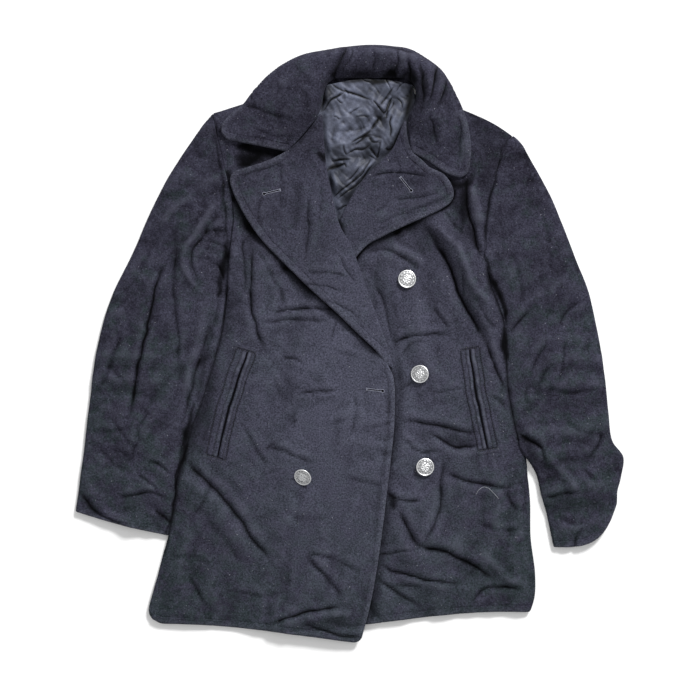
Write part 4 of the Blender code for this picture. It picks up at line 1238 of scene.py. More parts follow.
def lie_of(relief, reach):
    """How far each spot of a grid lies below the cloth around it, which is averaged over some cells."""
    mean = relief
    for axis in (0, 1):
        margins = [(reach + 1, reach) if axis == other else (0, 0) for other in (0, 1)]
        total = np.cumsum(np.pad(mean, margins, mode="edge"), axis=axis)
        count = mean.shape[axis]
        ahead = np.take(total, np.arange(count) + 2 * reach + 1, axis=axis)
        mean = (ahead - np.take(total, np.arange(count), axis=axis)) / (2 * reach + 1)
    return mean - relief


def with_lie(shade, relief, reach, gain=LIE_SHADE):
    """Painted shade of the hollows, with the low places of a relief painted darker and its ridges painted
    paler as a highlight.
    """
    low = gain * lie_of(relief, reach)
    return np.clip(shade + np.where(low > 0, low, RIDGE_HIGHLIGHT * low), PALEST, 1.0)


def hollow_shade(x, y, hollows):
    """Painted shade of the hollows at each point, from 0 to 1. Each has its strength, width and path."""
    shade = np.zeros(x.shape)
    x, y = swayed(x, y, *HOLLOW_SWAY)
    for strength, width, path in hollows:
        close, gap, where = near_path(x, y, path, HOLLOW_REACH * width)
        taper = np.clip(np.sin(math.pi * where), 0.04, 1.0) ** 0.6
        power = 3.0 if strength >= SHARP_HOLLOW else 2.0
        dark = strength * taper**0.5 * np.exp(-(np.abs(gap / (width * taper)) ** power))
        shade[close] = np.maximum(shade[close], dark)
    return shade


def edge_bead(x, y, gap, place):
    """Relief of a stitched edge: plump outside its stitching, which holds the cloth down unevenly."""
    plump = bell(gap, place * 0.45, place * 0.42)
    held = bell(gap, place, HELD_WIDTH)
    bead = BEAD_HEIGHT * plump - BEAD_HEIGHT * held
    return bead * (1.0 + 0.7 * value_noise(x, y, 17.0, SEEDS["bead"]))


def collar_outline(ribs):
    """Outline of some ribs of the collar, from the neck seam round to the free edge."""
    return np.array([(r.neck_x, r.neck_y) for r in ribs] + [(r.out_x, r.out_y) for r in ribs[::-1]],
                    dtype=float)


LAPEL_OVER_OUTLINE = border(plan_grid(LAPEL_OVER, (6, 22)))
LAPEL_UNDER_OUTLINE = border(plan_grid(LAPEL_UNDER, (6, 18)))
COLLAR_LEFT_OUTLINE = collar_outline(COLLAR[:9])
COLLAR_RIGHT_OUTLINE = collar_outline(COLLAR[12:])
NECK_OPENING = np.array(ends_on("right", LAPEL_OVER)[5:] + [(-40, 800), (96, 800)]
                        + ends_on("left", LAPEL_UNDER)[:1:-1], dtype=float)


def calm_line(side):
    """The side edge of the body along which its creases are calmed."""
    return ends_on(side, BODY[side][:CALM_SECTIONS[side]])


def over_surface(x, y):
    """The left front with its creases, plain under its lapel and under the collar."""
    shown = clear_of(x, y, LAPEL_OVER_OUTLINE) * clear_of(x, y, COLLAR_LEFT_OUTLINE)
    shown = shown * calmed(distance_to(x, y, calm_line("left")), *CALM_BODY)
    relief = crease_relief(x, y, CREASES_OVER)[0] + rumple(x, y, SEEDS["front_over"])
    height = over_level(x, y) + relief * shown
    on_under = (x > edge_x(FRONT_UNDER, "left", y) - 4.0) & (y < NECK_PARTING[0])
    lowest = np.where(on_under, under_level(x, y) + MELTON + SEAM_GAP, EDGE_LEVEL)
    return np.maximum(height, lowest)


def under_surface(x, y):
    """The right front with its creases, plain where other pieces hide it."""
    shown = clear_of(x, y, LAPEL_UNDER_OUTLINE) * clear_of(x, y, COLLAR_RIGHT_OUTLINE)
    shown = shown * np.maximum(past_over(x, y), eased(*SHOWN_NECK, y))
    shown = shown * calmed(distance_to(x, y, calm_line("right")), *CALM_BODY)
    relief = crease_relief(x, y, CREASES_UNDER)[0] + rumple(x, y, SEEDS["front_under"])
    return np.maximum(under_level(x, y) + relief * shown, EDGE_LEVEL)


def lining_surface(x, y):
    """The back lining, crinkled where it shows between the lapels."""
    shown = eased(0.0, NECK_REACH, depth_in(x, y, NECK_OPENING))
    relief = SATIN_PLUMP + crumple(x, y, SEEDS["lining"], SATIN_FACETS, SATIN_STEEP)
    relief = relief + crease_relief(x, y, CREASES_LINING)[0]
    return np.maximum(lining_level(x, y) + relief * shown, MELTON + SATIN / 2 + SEAM_GAP)


# The pieces that come in pairs. Shadows are painted shadow lines on a front, each with its strength and
# breadth.
Front = namedtuple("Front", "sections level surface creases hollows node area shadows")
FRONTS = {
    "Front_left": Front(
        FRONT_OVER, over_level, over_surface, CREASES_OVER, HOLLOWS_OVER, "front_over", 0.172,
        [(ends_on("left", LAPEL_OVER)[1:], 0.97, 4.4), (body_side("left"), *SIDE_SHADOW)]),
    "Front_right": Front(
        FRONT_UNDER, under_level, under_surface, CREASES_UNDER, HOLLOWS_UNDER, "front_under", 0.189,
        [(ends_on("right", LAPEL_UNDER)[2:], 0.92, 3.6), (ends_on("right", FRONT_OVER)[:11], 0.8, 3.4),
         (body_side("right"), *SIDE_SHADOW)]),
}
Lapel = namedtuple("Lapel", "sections level roll free creases hollows seed node front flat area")
LAPELS = {
    "Lapel_left": Lapel(
        LAPEL_OVER, over_level, "right", "left", CREASES_LAPEL_OVER, HOLLOWS_LAPEL_OVER, 31,
        "lapel_over", "Front_left", (0.16, 0.32), 0.0284),
    "Lapel_right": Lapel(
        LAPEL_UNDER, under_level, "left", "right", CREASES_LAPEL_UNDER, HOLLOWS_LAPEL_UNDER, 37,
        "lapel_under", "Front_right", (0.13, 0.27), 0.0167),
}
Sleeve = namedtuple("Sleeve", "sections folds creases hollows seed area")
SLEEVES = {
    "left": Sleeve(SLEEVE_LEFT, FOLDS_SLEEVE_LEFT, CREASES_SLEEVE_LEFT, HOLLOWS_SLEEVE_LEFT, 53, 0.148),
    "right": Sleeve(
        SLEEVE_RIGHT, FOLDS_SLEEVE_RIGHT, CREASES_SLEEVE_RIGHT, HOLLOWS_SLEEVE_RIGHT, 67, 0.125),
}


def lapel_level(lapel, x, y):
    """A lapel without creases: on its front, and bent down round the front's edge at the roll line."""
    gap = distance_to(x, y, ends_on(lapel.roll, lapel.sections))
    drop = 1.0 - rounding(gap, ROLL_ROUND)
    return lapel.level(x, y) + LAPEL_STEP - ROLL_DROP * drop


def lapel_surface(lapel):
    """A lapel that lies on its front, with creases of its own."""
    def surface(x, y):
        relief = crease_relief(x, y, lapel.creases)[0] + LAPEL_RUMPLE * rumple(x, y, lapel.seed)
        return lapel_level(lapel, x, y) + relief - LAPEL_TAPER * (1 - eased(*TAPER_Y, y))

    return surface


def sleeve_relief(sleeve, x, y):
    """The creases and the crumpling of a sleeve."""
    return crease_relief(x, y, sleeve.creases)[0] + rumple(x, y, sleeve.seed)


def sleeve_surface(sleeve):
    """The upper half of a sleeve, low along its two folded edges, where its creases fade."""
    def surface(x, y):
        gap = distance_to(x, y, ends_on("left", sleeve.sections), ends_on("right", sleeve.sections))
        plain = EDGE_LEVEL + PUFF * rounding(gap, EDGE_ROUND) + fold_height(x, y, sleeve.folds)
        height = plain + sleeve_relief(sleeve, x, y) * calmed(gap, *CALM_SLEEVE)
        return np.maximum(height, EDGE_LEVEL)

    return surface


def rib_points(rib, count):
    """One section of the collar, from the neck seam over the roll to the edge of the fall.

    The last value of each point is how much of it faces up, from 1 to 0 where the fall turns under.
    """
    neck = np.array([rib.neck_x, rib.neck_y])
    run = np.array([rib.out_x, rib.out_y]) - neck
    turned = eased(-10.0, 8.0, rib.tuck)
    run = run * (1.0 - TURNED / 2 / np.hypot(*run))
    width = np.hypot(*run)
    turn = width + min(rib.tuck, 0.0)
    end = width - max(rib.tuck, 0.0)
    top = rib.crest_at * width
    rise, fall = rib.crest - rib.neck_z, rib.crest - rib.out_z
    # Places along the section: how far out, how high, and how much it faces up
    outline = np.array([
        (0.0, rib.neck_z, 1.0),
        (top * 0.30, rib.neck_z + rise * 0.72, 1.0),
        (top, rib.crest, 1.0),
        (top + (turn - top) * 0.45, rib.crest - fall * 0.30, 1.0),
        (top + (turn - top) * 0.80, rib.crest - fall * 0.72, 1.0 - turned * 0.5),
        (turn, rib.out_z - (rib.out_z - rib.end_z) / 2 * turned, 1.0 - turned),
        ((turn + end) / 2 * (1 - turned) + (turn - TURN_IN) * turned, rib.end_z, 1.0 - turned),
        (end, rib.end_z, 1.0 - turned),
    ])
    dense = np.linspace(0.0, len(outline) - 1, 400)
    along = run_of(through_rows(outline, dense)[:, :2])
    outline = through_rows(outline, np.interp(np.linspace(0.0, along[-1], count), along, dense))
    plan = neck + run / width * outline[:, 0:1]
    height = outline[:, 1] + fall_lift(plan[:, 0], plan[:, 1]) * outline[:, 2]
    return np.concatenate([plan, height[:, None], np.clip(outline[:, 2:3], 0.0, 1.0)], axis=1)


def armhole(side, count):
    """Even points down a body panel's armhole, from the shoulder to the armpit."""
    ends = ends_on(side, BODY[side])
    armpit_row = np.interp(ARMPIT_Y[side], [end[1] for end in ends], np.arange(len(ends)))
    line = through_rows(ends, np.linspace(len(ends) - 1, armpit_row, 120))
    line = line + np.array([ARMHOLE_SHIFT[side], 0.0])
    run = run_of(line)
    even = np.linspace(0.0, run[-1], count)
    return resampled(line[:, None], run[:, None], even[:, None])[:, 0]


def set_in(plan, side):
    """Fit the head of a sleeve's grid to the armhole of the body panel that it is sewn to."""
    seam = armhole(side, plan.shape[1])
    if side == "right":
        seam = seam[::-1]
    share = 1.0 - eased(0.0, ARMHOLE_EASE, run_of(plan[:, plan.shape[1] // 2]))
    return plan + (seam - plan[0])[None, :, :] * share[:, None, None]


def touch_body(plan, side):
    """Bring a sleeve's inner edge up against the side of the body where the two lie close."""
    inner = plan[:, -1] if side == "left" else plan[:, 0]
    gap = edge_x(BODY[side], side, inner[:, 1]) - inner[:, 0]
    armpit = eased(ARMPIT_Y[side] - ARMPIT_FADE, ARMPIT_Y[side], inner[:, 1])
    close = eased(*TOUCH_Y[side], inner[:, 1]) * (1 - armpit)
    shift = np.clip(np.abs(gap) + TOUCH_PAST, 0.0, TOUCH_MOST) * close
    shift = shift * (1.0 if side == "left" else -1.0)
    share = np.linspace(0.0, 1.0, plan.shape[1])
    share = share if side == "left" else share[::-1]
    moved = plan.copy()
    moved[:, :, 0] += shift[:, None] * share[None, :] ** 3
    return moved


def sleeve_tube(side, sleeve):
    """Grid of a flattened sleeve all round, from the cuff up to its head."""
    plan = touch_body(set_in(fine_plan(sleeve.sections, SLEEVE_CELL), side), side)
    plan = inset_plan(plan, (EDGE_LEVEL - BACK_LEVEL + MELTON) / 2, HEAD_INSET)[::-1]
    top = raised(plan, sleeve_surface(sleeve))
    low = raised(plan[:, ::-2], lambda x, y: np.full(x.shape, BACK_LEVEL))
    turns = []
    for upper, lower, inner in ((top[:, -1], low[:, 0], top[:, -2]), (top[:, 0], low[:, -1], top[:, 1])):
        radius = (upper[:, 2:] - lower[:, 2:]) / 2
        reach = (upper - inner)[:, :2]
        reach = reach / np.linalg.norm(reach, axis=1, keepdims=True)
        arc = []
        for angle in np.radians(SLEEVE_TURN):
            outward = np.concatenate([reach * radius * math.cos(angle), radius * math.sin(angle)], axis=1)
            arc.append((upper + lower) / 2 + outward)
        turns.append(arc)
    first, second = np.stack(turns[0], axis=1), np.stack(turns[1][::-1], axis=1)
    return np.concatenate([top, first, low, second], axis=1)


def inner_line(points, side, inset, trim=0.0):
    """The line on a grid that runs inside one of its edges at an even distance."""
    turned = {
        "left": points.transpose(1, 0, 2),
        "right": points[:, ::-1].transpose(1, 0, 2),
        "bottom": points,
        "top": points[::-1],
    }[side]
    line = resampled(turned, run_of(turned), np.full((1, turned.shape[1]), inset))[0]
    run = run_of(line)
    return line[(run >= trim) & (run <= run[-1] - trim)]


BLACK = (0.0, 0.0, 0.0)
# DEEP_SHADE is the colour of the painted shade in the darkest places
DEEP_SHADE = (0.0004, 0.0004, 0.0006)


def linear(hex_colour):
    """Linear red, green and blue of an sRGB colour that is written as hex."""
    channels = [int(hex_colour[i:i + 2], 16) / 255 for i in (1, 3, 5)]
    return [c / 12.92 if c <= 0.04045 else ((c + 0.055) / 1.055) ** 2.4 for c in channels]


def add_node(tree, kind, settings=None, values=None):
    """Add a node to a tree, with its settings, and with numbers or links for its sockets."""
    node = tree.nodes.new(kind)
    for name, value in (settings or {}).items():
        setattr(node, name, value)
    for socket, value in (values or {}).items():
        if isinstance(value, bpy.types.NodeSocket):
            tree.links.new(value, node.inputs[socket])
        else:
            node.inputs[socket].default_value = value
    return node


def new_material(name, grains, painted=()):
    """An empty material, its tree, and what varies over it: its place, its grains, its paint.

    Grains are noise patterns, each with its name, its size in millimetres, its detail and its
    roughness. Painted values are attributes of the mesh.
    """
    made = bpy.data.materials.new(name)
    made.use_nodes = True
    tree = made.node_tree
    tree.nodes.clear()
    place = add_node(tree, "ShaderNodeTexCoord").outputs["Object"]
    values = {"place": place}
    for grain, size, detail, roughness in grains:
        values[grain] = add_node(tree, "ShaderNodeTexNoise", values={
            "Vector": place, "Scale": 1.0 / (size * MM), "Detail": detail,
            "Roughness": roughness}).outputs["Fac"]
    for key in painted:
        values[key] = add_node(tree, "ShaderNodeAttribute", {"attribute_name": key}).outputs["Fac"]
    return made, tree, values


def lay_over(tree, colour, layers):
    """Lay colours over a first one, each as strongly as a range of a value says.

    A layer is a value, the range of it that counts, the shares at its two ends, and a tint.
    """
    colour = (*colour, 1.0)
    for value, low, high, least, most, tint in layers:
        share = add_node(tree, "ShaderNodeMapRange", values={
            "Value": value, "From Min": low, "From Max": high, "To Min": least, "To Max": most})
        mixed = add_node(tree, "ShaderNodeMix", {"data_type": "RGBA"}, {
            0: share.outputs["Result"], 6: colour, 7: (*tint, 1.0)})
        colour = mixed.outputs[2]
    return colour


def end_material(made, tree, surface, bump=None):
    """Give a material its surface, and a bump from a height, its strength and its depth in millimetres."""
    if bump:
        height, strength, depth = bump
        relief = add_node(tree, "ShaderNodeBump", values={
            "Height": height, "Strength": strength, "Distance": depth * MM})
        surface["Normal"] = relief.outputs["Normal"]
    shader = add_node(tree, "ShaderNodeBsdfPrincipled", values=surface)
    add_node(tree, "ShaderNodeOutputMaterial", values={"Surface": shader.outputs["BSDF"]})
    return made


def boiled_wool_melton(colours):
    """Melton: wool that is woven, then fulled and brushed until the nap hides the weave.

    The eye gets a matt, almost felted navy with a soft halo, heathered in patches where the nap
    lies one way or the other, with a painted pool of light over the chest and stray pale fibres in
    it. Creases and hollows carry painted shade, and ridges a painted highlight.
    """
    # Wool fibres are 0.03 mm thick, far too fine to show, so the nap is drawn in tufts of 2.1 mm
    made, tree, values = new_material("boiled_wool_melton", (
        ("patches", 46.0, 4.0, 0.68), ("casts", 27.0, 5.0, 0.70), ("clouds", 13.0, 3.0, 0.6),
        ("heather", 4.8, 3.0, 0.7), ("tufts", 2.1, 2.0, 0.75), ("specks", 2.7, 1.0, 0.5)),
        ("edge", "hollow"))
    # Distance from the middle of the chest, where a pool of light is painted
    chest = add_node(tree, "ShaderNodeMapping", {"vector_type": "POINT"}, {
        "Vector": values["place"], "Location": (0.0, 0.16, 0.0), "Scale": (3.4, 2.4, 1.0)})
    middle = add_node(tree, "ShaderNodeVectorMath", {"operation": "LENGTH"}, {0: chest.outputs["Vector"]})
    rubbed = add_node(tree, "ShaderNodeMapRange", values={
        "Value": values["edge"], "From Min": 0.0, "From Max": 5.0 * MM, "To Min": 0.55, "To Max": 0.0})
    rubbed = add_node(tree, "ShaderNodeMath", {"operation": "MULTIPLY"}, {
        0: rubbed.outputs["Result"], 1: values["heather"]})
    along = add_node(tree, "ShaderNodeSeparateXYZ", values={"Vector": values["place"]}).outputs["Y"]
    slate = add_node(tree, "ShaderNodeMath", {"operation": "MULTIPLY_ADD"}, {
        0: along, 1: -0.26, 2: values["casts"]})
    colour = lay_over(tree, colours.melton_mid, (
        (values["patches"], 0.40, 0.60, 0.0, 0.85, colours.melton_deep),
        (slate.outputs["Value"], 0.47, 0.62, 0.0, 0.95, colours.melton_slate),
        # Painted light: a pool of light over the middle of the coat
        (middle.outputs["Value"], 0.12, 0.95, 0.80, 0.0, colours.melton_brushed),
        (values["clouds"], 0.46, 0.72, 0.0, 0.40, colours.melton_pale),
        (values["heather"], 0.46, 0.72, 0.0, 0.55, colours.melton_pale),
        (rubbed.outputs["Value"], 0.0, 1.0, 0.0, 1.0, colours.melton_worn_and_highlight),
        (values["tufts"], 0.34, 0.66, 0.68, 0.0, BLACK),
        (values["specks"], 0.755, 0.79, 0.0, 0.45, colours.lint),
        # Painted highlight on ridges, and painted shade in creases, hollows and gaps between pieces
        (values["hollow"], PALEST, 0.0, 0.75, 0.0, colours.melton_worn_and_highlight),
        (values["hollow"], 0.0, 1.0, 0.0, DARKEST, DEEP_SHADE),
    ))
    away = add_node(tree, "ShaderNodeMath", {"operation": "SUBTRACT"}, {
        0: values["edge"], 1: EDGE_STITCH * MM})
    away = add_node(tree, "ShaderNodeMath", {"operation": "ABSOLUTE"}, {0: away.outputs["Value"]})
    groove = add_node(tree, "ShaderNodeMapRange", values={
        "Value": away.outputs["Value"], "From Min": 0.0, "From Max": 1.6 * MM, "To Min": -0.45,
        "To Max": 0.0})
    height = groove.outputs["Result"]
    for grain in ("heather", "tufts"):
        height = add_node(tree, "ShaderNodeMath", {"operation": "MULTIPLY_ADD"}, {
            0: values[grain], 1: 0.6, 2: height}).outputs["Value"]
    return end_material(made, tree, {
        "Base Color": colour, "Roughness": 0.96, "Specular IOR Level": 0.05, "Sheen Weight": 0.05,
        "Sheen Roughness": 0.55, "Sheen Tint": (*linear("#a4a6b8"), 1.0)}, (height, 0.9, 0.9))


def crinkled_satin_lining(colours):
    """Lining satin: polyester with long floats, so it shines along the folds and goes dark across.

    The eye gets a blue-grey cloth with a broad soft sheen, partly painted in patches of light and shade
    and as highlights on its ridges, and nearly black lines of painted shade in its creases.
    """
    made, tree, values = new_material("crinkled_satin_lining", (
        ("patches", 30.0, 3.0, 0.5), ("fine", 2.4, 2.0, 0.5)), ("hollow",))
    colour = lay_over(tree, colours.satin_deep, (
        # Painted light in patches, a painted highlight on ridges and painted shade in creases
        (values["patches"], 0.35, 0.65, 0.0, 1.0, colours.satin_pale),
        (values["fine"], 0.35, 0.65, 0.25, 0.0, BLACK),
        (values["hollow"], PALEST, 0.0, 0.8, 0.0, colours.satin_light),
        (values["hollow"], 0.0, 1.0, 0.0, DARKEST, DEEP_SHADE),
    ))
    return end_material(made, tree, {
        "Base Color": colour, "Roughness": 0.56, "Specular IOR Level": 0.22, "Anisotropic": 0.4,
        "Sheen Weight": 0.02}, (values["fine"], 0.5, 0.35))


def cast_pewter(colours):
    """Pewter casting, tumbled bright: grey white metal, darker with age in its low places."""
    made, tree, values = new_material("cast_pewter", (
        ("blotch", 3.0, 3.0, 0.6), ("pits", 0.7, 2.0, 0.5)), ("hollow",))
    aged = add_node(tree, "ShaderNodeMath", {"operation": "MULTIPLY"}, {
        0: values["hollow"], 1: values["blotch"]}).outputs["Value"]
    colour = lay_over(tree, colours.pewter, ((aged, 0.1, 0.65, 0.0, 1.0, colours.tarnish),))
    return end_material(made, tree, {
        "Base Color": colour, "Metallic": 1.0, "Roughness": 0.42}, (values["pits"], 0.35, 0.08))


def spun_thread(name, colour):
    """Spun polyester thread: dull, with a slight twist that breaks up its light."""
    made, tree, values = new_material(name, (("twist", 0.8, 1.0, 0.5),))
    shaded = lay_over(tree, colour, ((values["twist"], 0.3, 0.7, 0.0, 0.4, [c * 0.55 for c in colour]),))
    return end_material(made, tree, {
        "Base Color": shaded, "Roughness": 0.7, "Sheen Weight": 0.2}, (values["twist"], 0.5, 0.1))


def wool_in_shade():
    """Painted shade for the inside of a slit in thick wool: fibres in deep shade, so nearly black."""
    made, tree, values = new_material("wool_in_shade", (("fibres", 1.2, 2.0, 0.5),))
    colour = lay_over(tree, (0.0008, 0.0008, 0.0012), (
        (values["fibres"], 0.0, 1.0, 0.0, 1.0, (0.003, 0.003, 0.004)),))
    return end_material(made, tree, {
        "Base Color": colour, "Roughness": 1.0, "Specular IOR Level": 0.05})


def matt_board(colours):
    """Painted board: even, matt and nearly white, with a faint grain."""
    made, tree, values = new_material("matt_painted_board", (("grain", 3.0, 3.0, 0.5),))
    colour = lay_over(tree, colours.board, ((values["grain"], 0.3, 0.7, 0.0, 0.02, (0.6, 0.6, 0.6)),))
    return end_material(made, tree, {
        "Base Color": colour, "Roughness": 0.9, "Specular IOR Level": 0.1})


def new_tree(name, lengths, numbers=(), seeds=()):
    """An empty Geometry Nodes tree with named inputs, and the outlets of those."""
    tree = bpy.data.node_groups.new(name, "GeometryNodeTree")
    face = tree.interface
    face.new_socket("Geometry", in_out="INPUT", socket_type="NodeSocketGeometry")
    for length in lengths:
        face.new_socket(length, in_out="INPUT", socket_type="NodeSocketFloat").subtype = "DISTANCE"
    for number in numbers:
        face.new_socket(number, in_out="INPUT", socket_type="NodeSocketFloat")
    for seed in seeds:
        face.new_socket(seed, in_out="INPUT", socket_type="NodeSocketInt")
    face.new_socket("Material", in_out="INPUT", socket_type="NodeSocketMaterial")
    face.new_socket("Geometry", in_out="OUTPUT", socket_type="NodeSocketGeometry")
    return tree, add_node(tree, "NodeGroupInput").outputs


def finish_tree(tree, instances, dye):
    """End a tree: its instances made real, with their material."""
    real = add_node(tree, "GeometryNodeRealizeInstances", values={"Geometry": instances})
    dyed = add_node(tree, "GeometryNodeSetMaterial", values={
        "Geometry": real.outputs["Geometry"], "Material": dye})
    add_node(tree, "NodeGroupOutput", values={"Geometry": dyed.outputs["Geometry"]})
    return tree


def stitch_tree():
    """Geometry Nodes: a row of plump stitches along every edge path of a mesh."""
    tree, given = new_tree("StitchRow", ("Pitch", "Length", "Width", "Height"))
    path = add_node(tree, "GeometryNodeMeshToCurve", values={"Mesh": given["Geometry"]})
    spots = add_node(tree, "GeometryNodeCurveToPoints", {"mode": "LENGTH"}, {
        "Curve": path.outputs["Curve"], "Length": given["Pitch"]})
    thread = add_node(tree, "GeometryNodeMeshUVSphere", values={"Segments": 6, "Rings": 5, "Radius": 0.5})
    size = add_node(tree, "ShaderNodeCombineXYZ", values={
        "X": given["Height"], "Y": given["Width"], "Z": given["Length"]})
    shaped = add_node(tree, "GeometryNodeTransform", values={
        "Geometry": thread.outputs["Mesh"], "Scale": size.outputs["Vector"]})
    turn = add_node(tree, "FunctionNodeAlignRotationToVector", {"axis": "Z"}, {
        "Vector": spots.outputs["Tangent"]})
    laid = add_node(tree, "GeometryNodeInstanceOnPoints", values={
        "Points": spots.outputs["Points"], "Instance": shaped.outputs["Geometry"],
        "Rotation": turn.outputs["Rotation"]})
    return finish_tree(tree, laid.outputs["Instances"], given["Material"])


def lint_tree():
    """Geometry Nodes: short stray fibres, scattered over the upper side of a cloth with a fixed seed."""
    tree, given = new_tree("StrayFibres", ("Length", "Width"), ("Density",), ("Seed",))
    normal = add_node(tree, "GeometryNodeInputNormal").outputs[0]
    up = add_node(tree, "ShaderNodeSeparateXYZ", values={"Vector": normal}).outputs["Z"]
    upper = add_node(tree, "FunctionNodeCompare", {"operation": "GREATER_THAN"}, {0: up, 1: 0.8})
    spots = add_node(tree, "GeometryNodeDistributePointsOnFaces", values={
        "Mesh": given["Geometry"], "Selection": upper.outputs["Result"],
        "Density": given["Density"], "Seed": given["Seed"]})
    arc = add_node(tree, "GeometryNodeCurveArc", values={
        "Resolution": 6, "Radius": 0.45, "Sweep Angle": 2.2})
    shape = add_node(tree, "GeometryNodeCurvePrimitiveCircle", values={"Resolution": 3, "Radius": 0.5})
    scale = add_node(tree, "ShaderNodeCombineXYZ", values={
        "X": given["Width"], "Y": given["Width"], "Z": 1.0})
    thin = add_node(tree, "GeometryNodeTransform", values={
        "Geometry": shape.outputs["Curve"], "Scale": scale.outputs["Vector"]})
    scale = add_node(tree, "ShaderNodeCombineXYZ", values={
        "X": given["Length"], "Y": given["Length"], "Z": given["Length"]})
    long = add_node(tree, "GeometryNodeTransform", values={
        "Geometry": arc.outputs["Curve"], "Scale": scale.outputs["Vector"]})
    fibre = add_node(tree, "GeometryNodeCurveToMesh", values={
        "Curve": long.outputs["Geometry"], "Profile Curve": thin.outputs["Geometry"], "Fill Caps": True})
    turn = add_node(tree, "FunctionNodeRandomValue", {"data_type": "FLOAT"}, {
        2: 0.0, 3: 2 * math.pi, "Seed": given["Seed"]})
    turning = add_node(tree, "ShaderNodeCombineXYZ", values={"Z": turn.outputs[1]})
    grown = add_node(tree, "FunctionNodeRandomValue", {"data_type": "FLOAT"}, {
        2: 0.35, 3: 1.25, "Seed": given["Seed"]})
    laid = add_node(tree, "GeometryNodeInstanceOnPoints", values={
        "Points": spots.outputs["Points"], "Instance": fibre.outputs["Mesh"],
        "Rotation": turning.outputs["Vector"], "Scale": grown.outputs[1]})
    return finish_tree(tree, laid.outputs["Instances"], given["Material"])


def grow(name, tree, carrier, inputs):
    """Run a Geometry Nodes tree on a carrier mesh and keep the result as a plain mesh."""
    source = bpy.data.objects.new(name + "_carrier", carrier)
    bpy.context.scene.collection.objects.link(source)
    growing = source.modifiers.new(tree.name, "NODES")
    growing.node_group = tree
    for item in tree.interface.items_tree:
        if item.in_out == "INPUT" and item.name in inputs:
            growing[item.identifier] = inputs[item.name]
    graph = bpy.context.evaluated_depsgraph_get()
    mesh = bpy.data.meshes.new_from_object(source.evaluated_get(graph))
    mesh.name = name
    mesh.shade_smooth()
    source.modifiers.clear()
    bpy.data.objects.remove(source, do_unlink=True)
    piece = bpy.data.objects.new(name, mesh)
    bpy.context.scene.collection.objects.link(piece)
    return piece


def sew(name, lines, thread, stitch):
    """Rows of stitches along lines."""
    places, edges = [], []
    for line in lines:
        edges.extend((len(places) + i, len(places) + i + 1) for i in range(len(line) - 1))
        places.extend(((line - MIDDLE) * MM).tolist())
    path = bpy.data.meshes.new(name + "_path")
    path.from_pydata(places, edges, [])
    inputs = {"Pitch": stitch.pitch * MM, "Length": stitch.length * MM, "Width": stitch.width * MM,
              "Height": stitch.height * MM, "Material": thread}
    return on_coat(grow(name, stitch_tree(), path, inputs), "melton")


def material(make):
    """A material, made the first time that a piece asks for it."""
    return bpy.data.materials.get(make.__name__) or make(bpy.context.scene.coat_colours)


def dyed_thread(name, setting):
    """A thread in the colour of that setting, made the first time that a piece asks for it."""
    colour = list(getattr(bpy.context.scene.coat_colours, setting))
    return bpy.data.materials.get(name) or spun_thread(name, colour)


def free_edge_gap(plan, edges):
    """Distance of each point of a plan to the nearest of its free edges."""
    lines = []
    for edge in edges:
        step = max(1, len(edge) // 60)
        lines.append(np.concatenate([edge[::step], edge[-1:]])[:, :2])
    return distance_to(plan[:, :, 0], plan[:, :, 1], *lines)


def length_values(name, description, default, least, most):
    """Settings of a property for a length, from millimetres."""
    return {"name": name, "description": description, "default": default * MM, "min": least * MM,
            "max": most * MM, "unit": "LENGTH"}


def colour_values(name, description, hex_colour):
    """Settings of a property for a colour."""
    return {"name": name, "description": description, "default": linear(hex_colour), "min": 0.0,
            "max": 1.0, "size": 3, "subtype": "COLOR"}


class CoatSizes(bpy.types.PropertyGroup):
    """Sizes of the cloth and of its sewing."""
    cell: bpy.props.FloatProperty(
        **length_values("Cell", "Breadth of one cell of the fronts' cloth", 2.9, 1.5, 8))
    stitch_pitch: bpy.props.FloatProperty(
        **length_values("Stitch pitch", "From one stitch of the edge stitching to the next", 3.6, 1, 8))
    thread_width: bpy.props.FloatProperty(
        **length_values("Thread width", "Breadth of a stitch of the edge stitching", 0.7, 0.2, 2))
    edge_stitch: bpy.props.FloatProperty(
        **length_values("Edge stitching", "Distance of the edge stitching from the edge",
                        EDGE_STITCH, 3, 15))
    lint_length: bpy.props.FloatProperty(
        **length_values("Stray fibre", "Length of the longer stray fibres on the wool", 2.2, 1, 20))


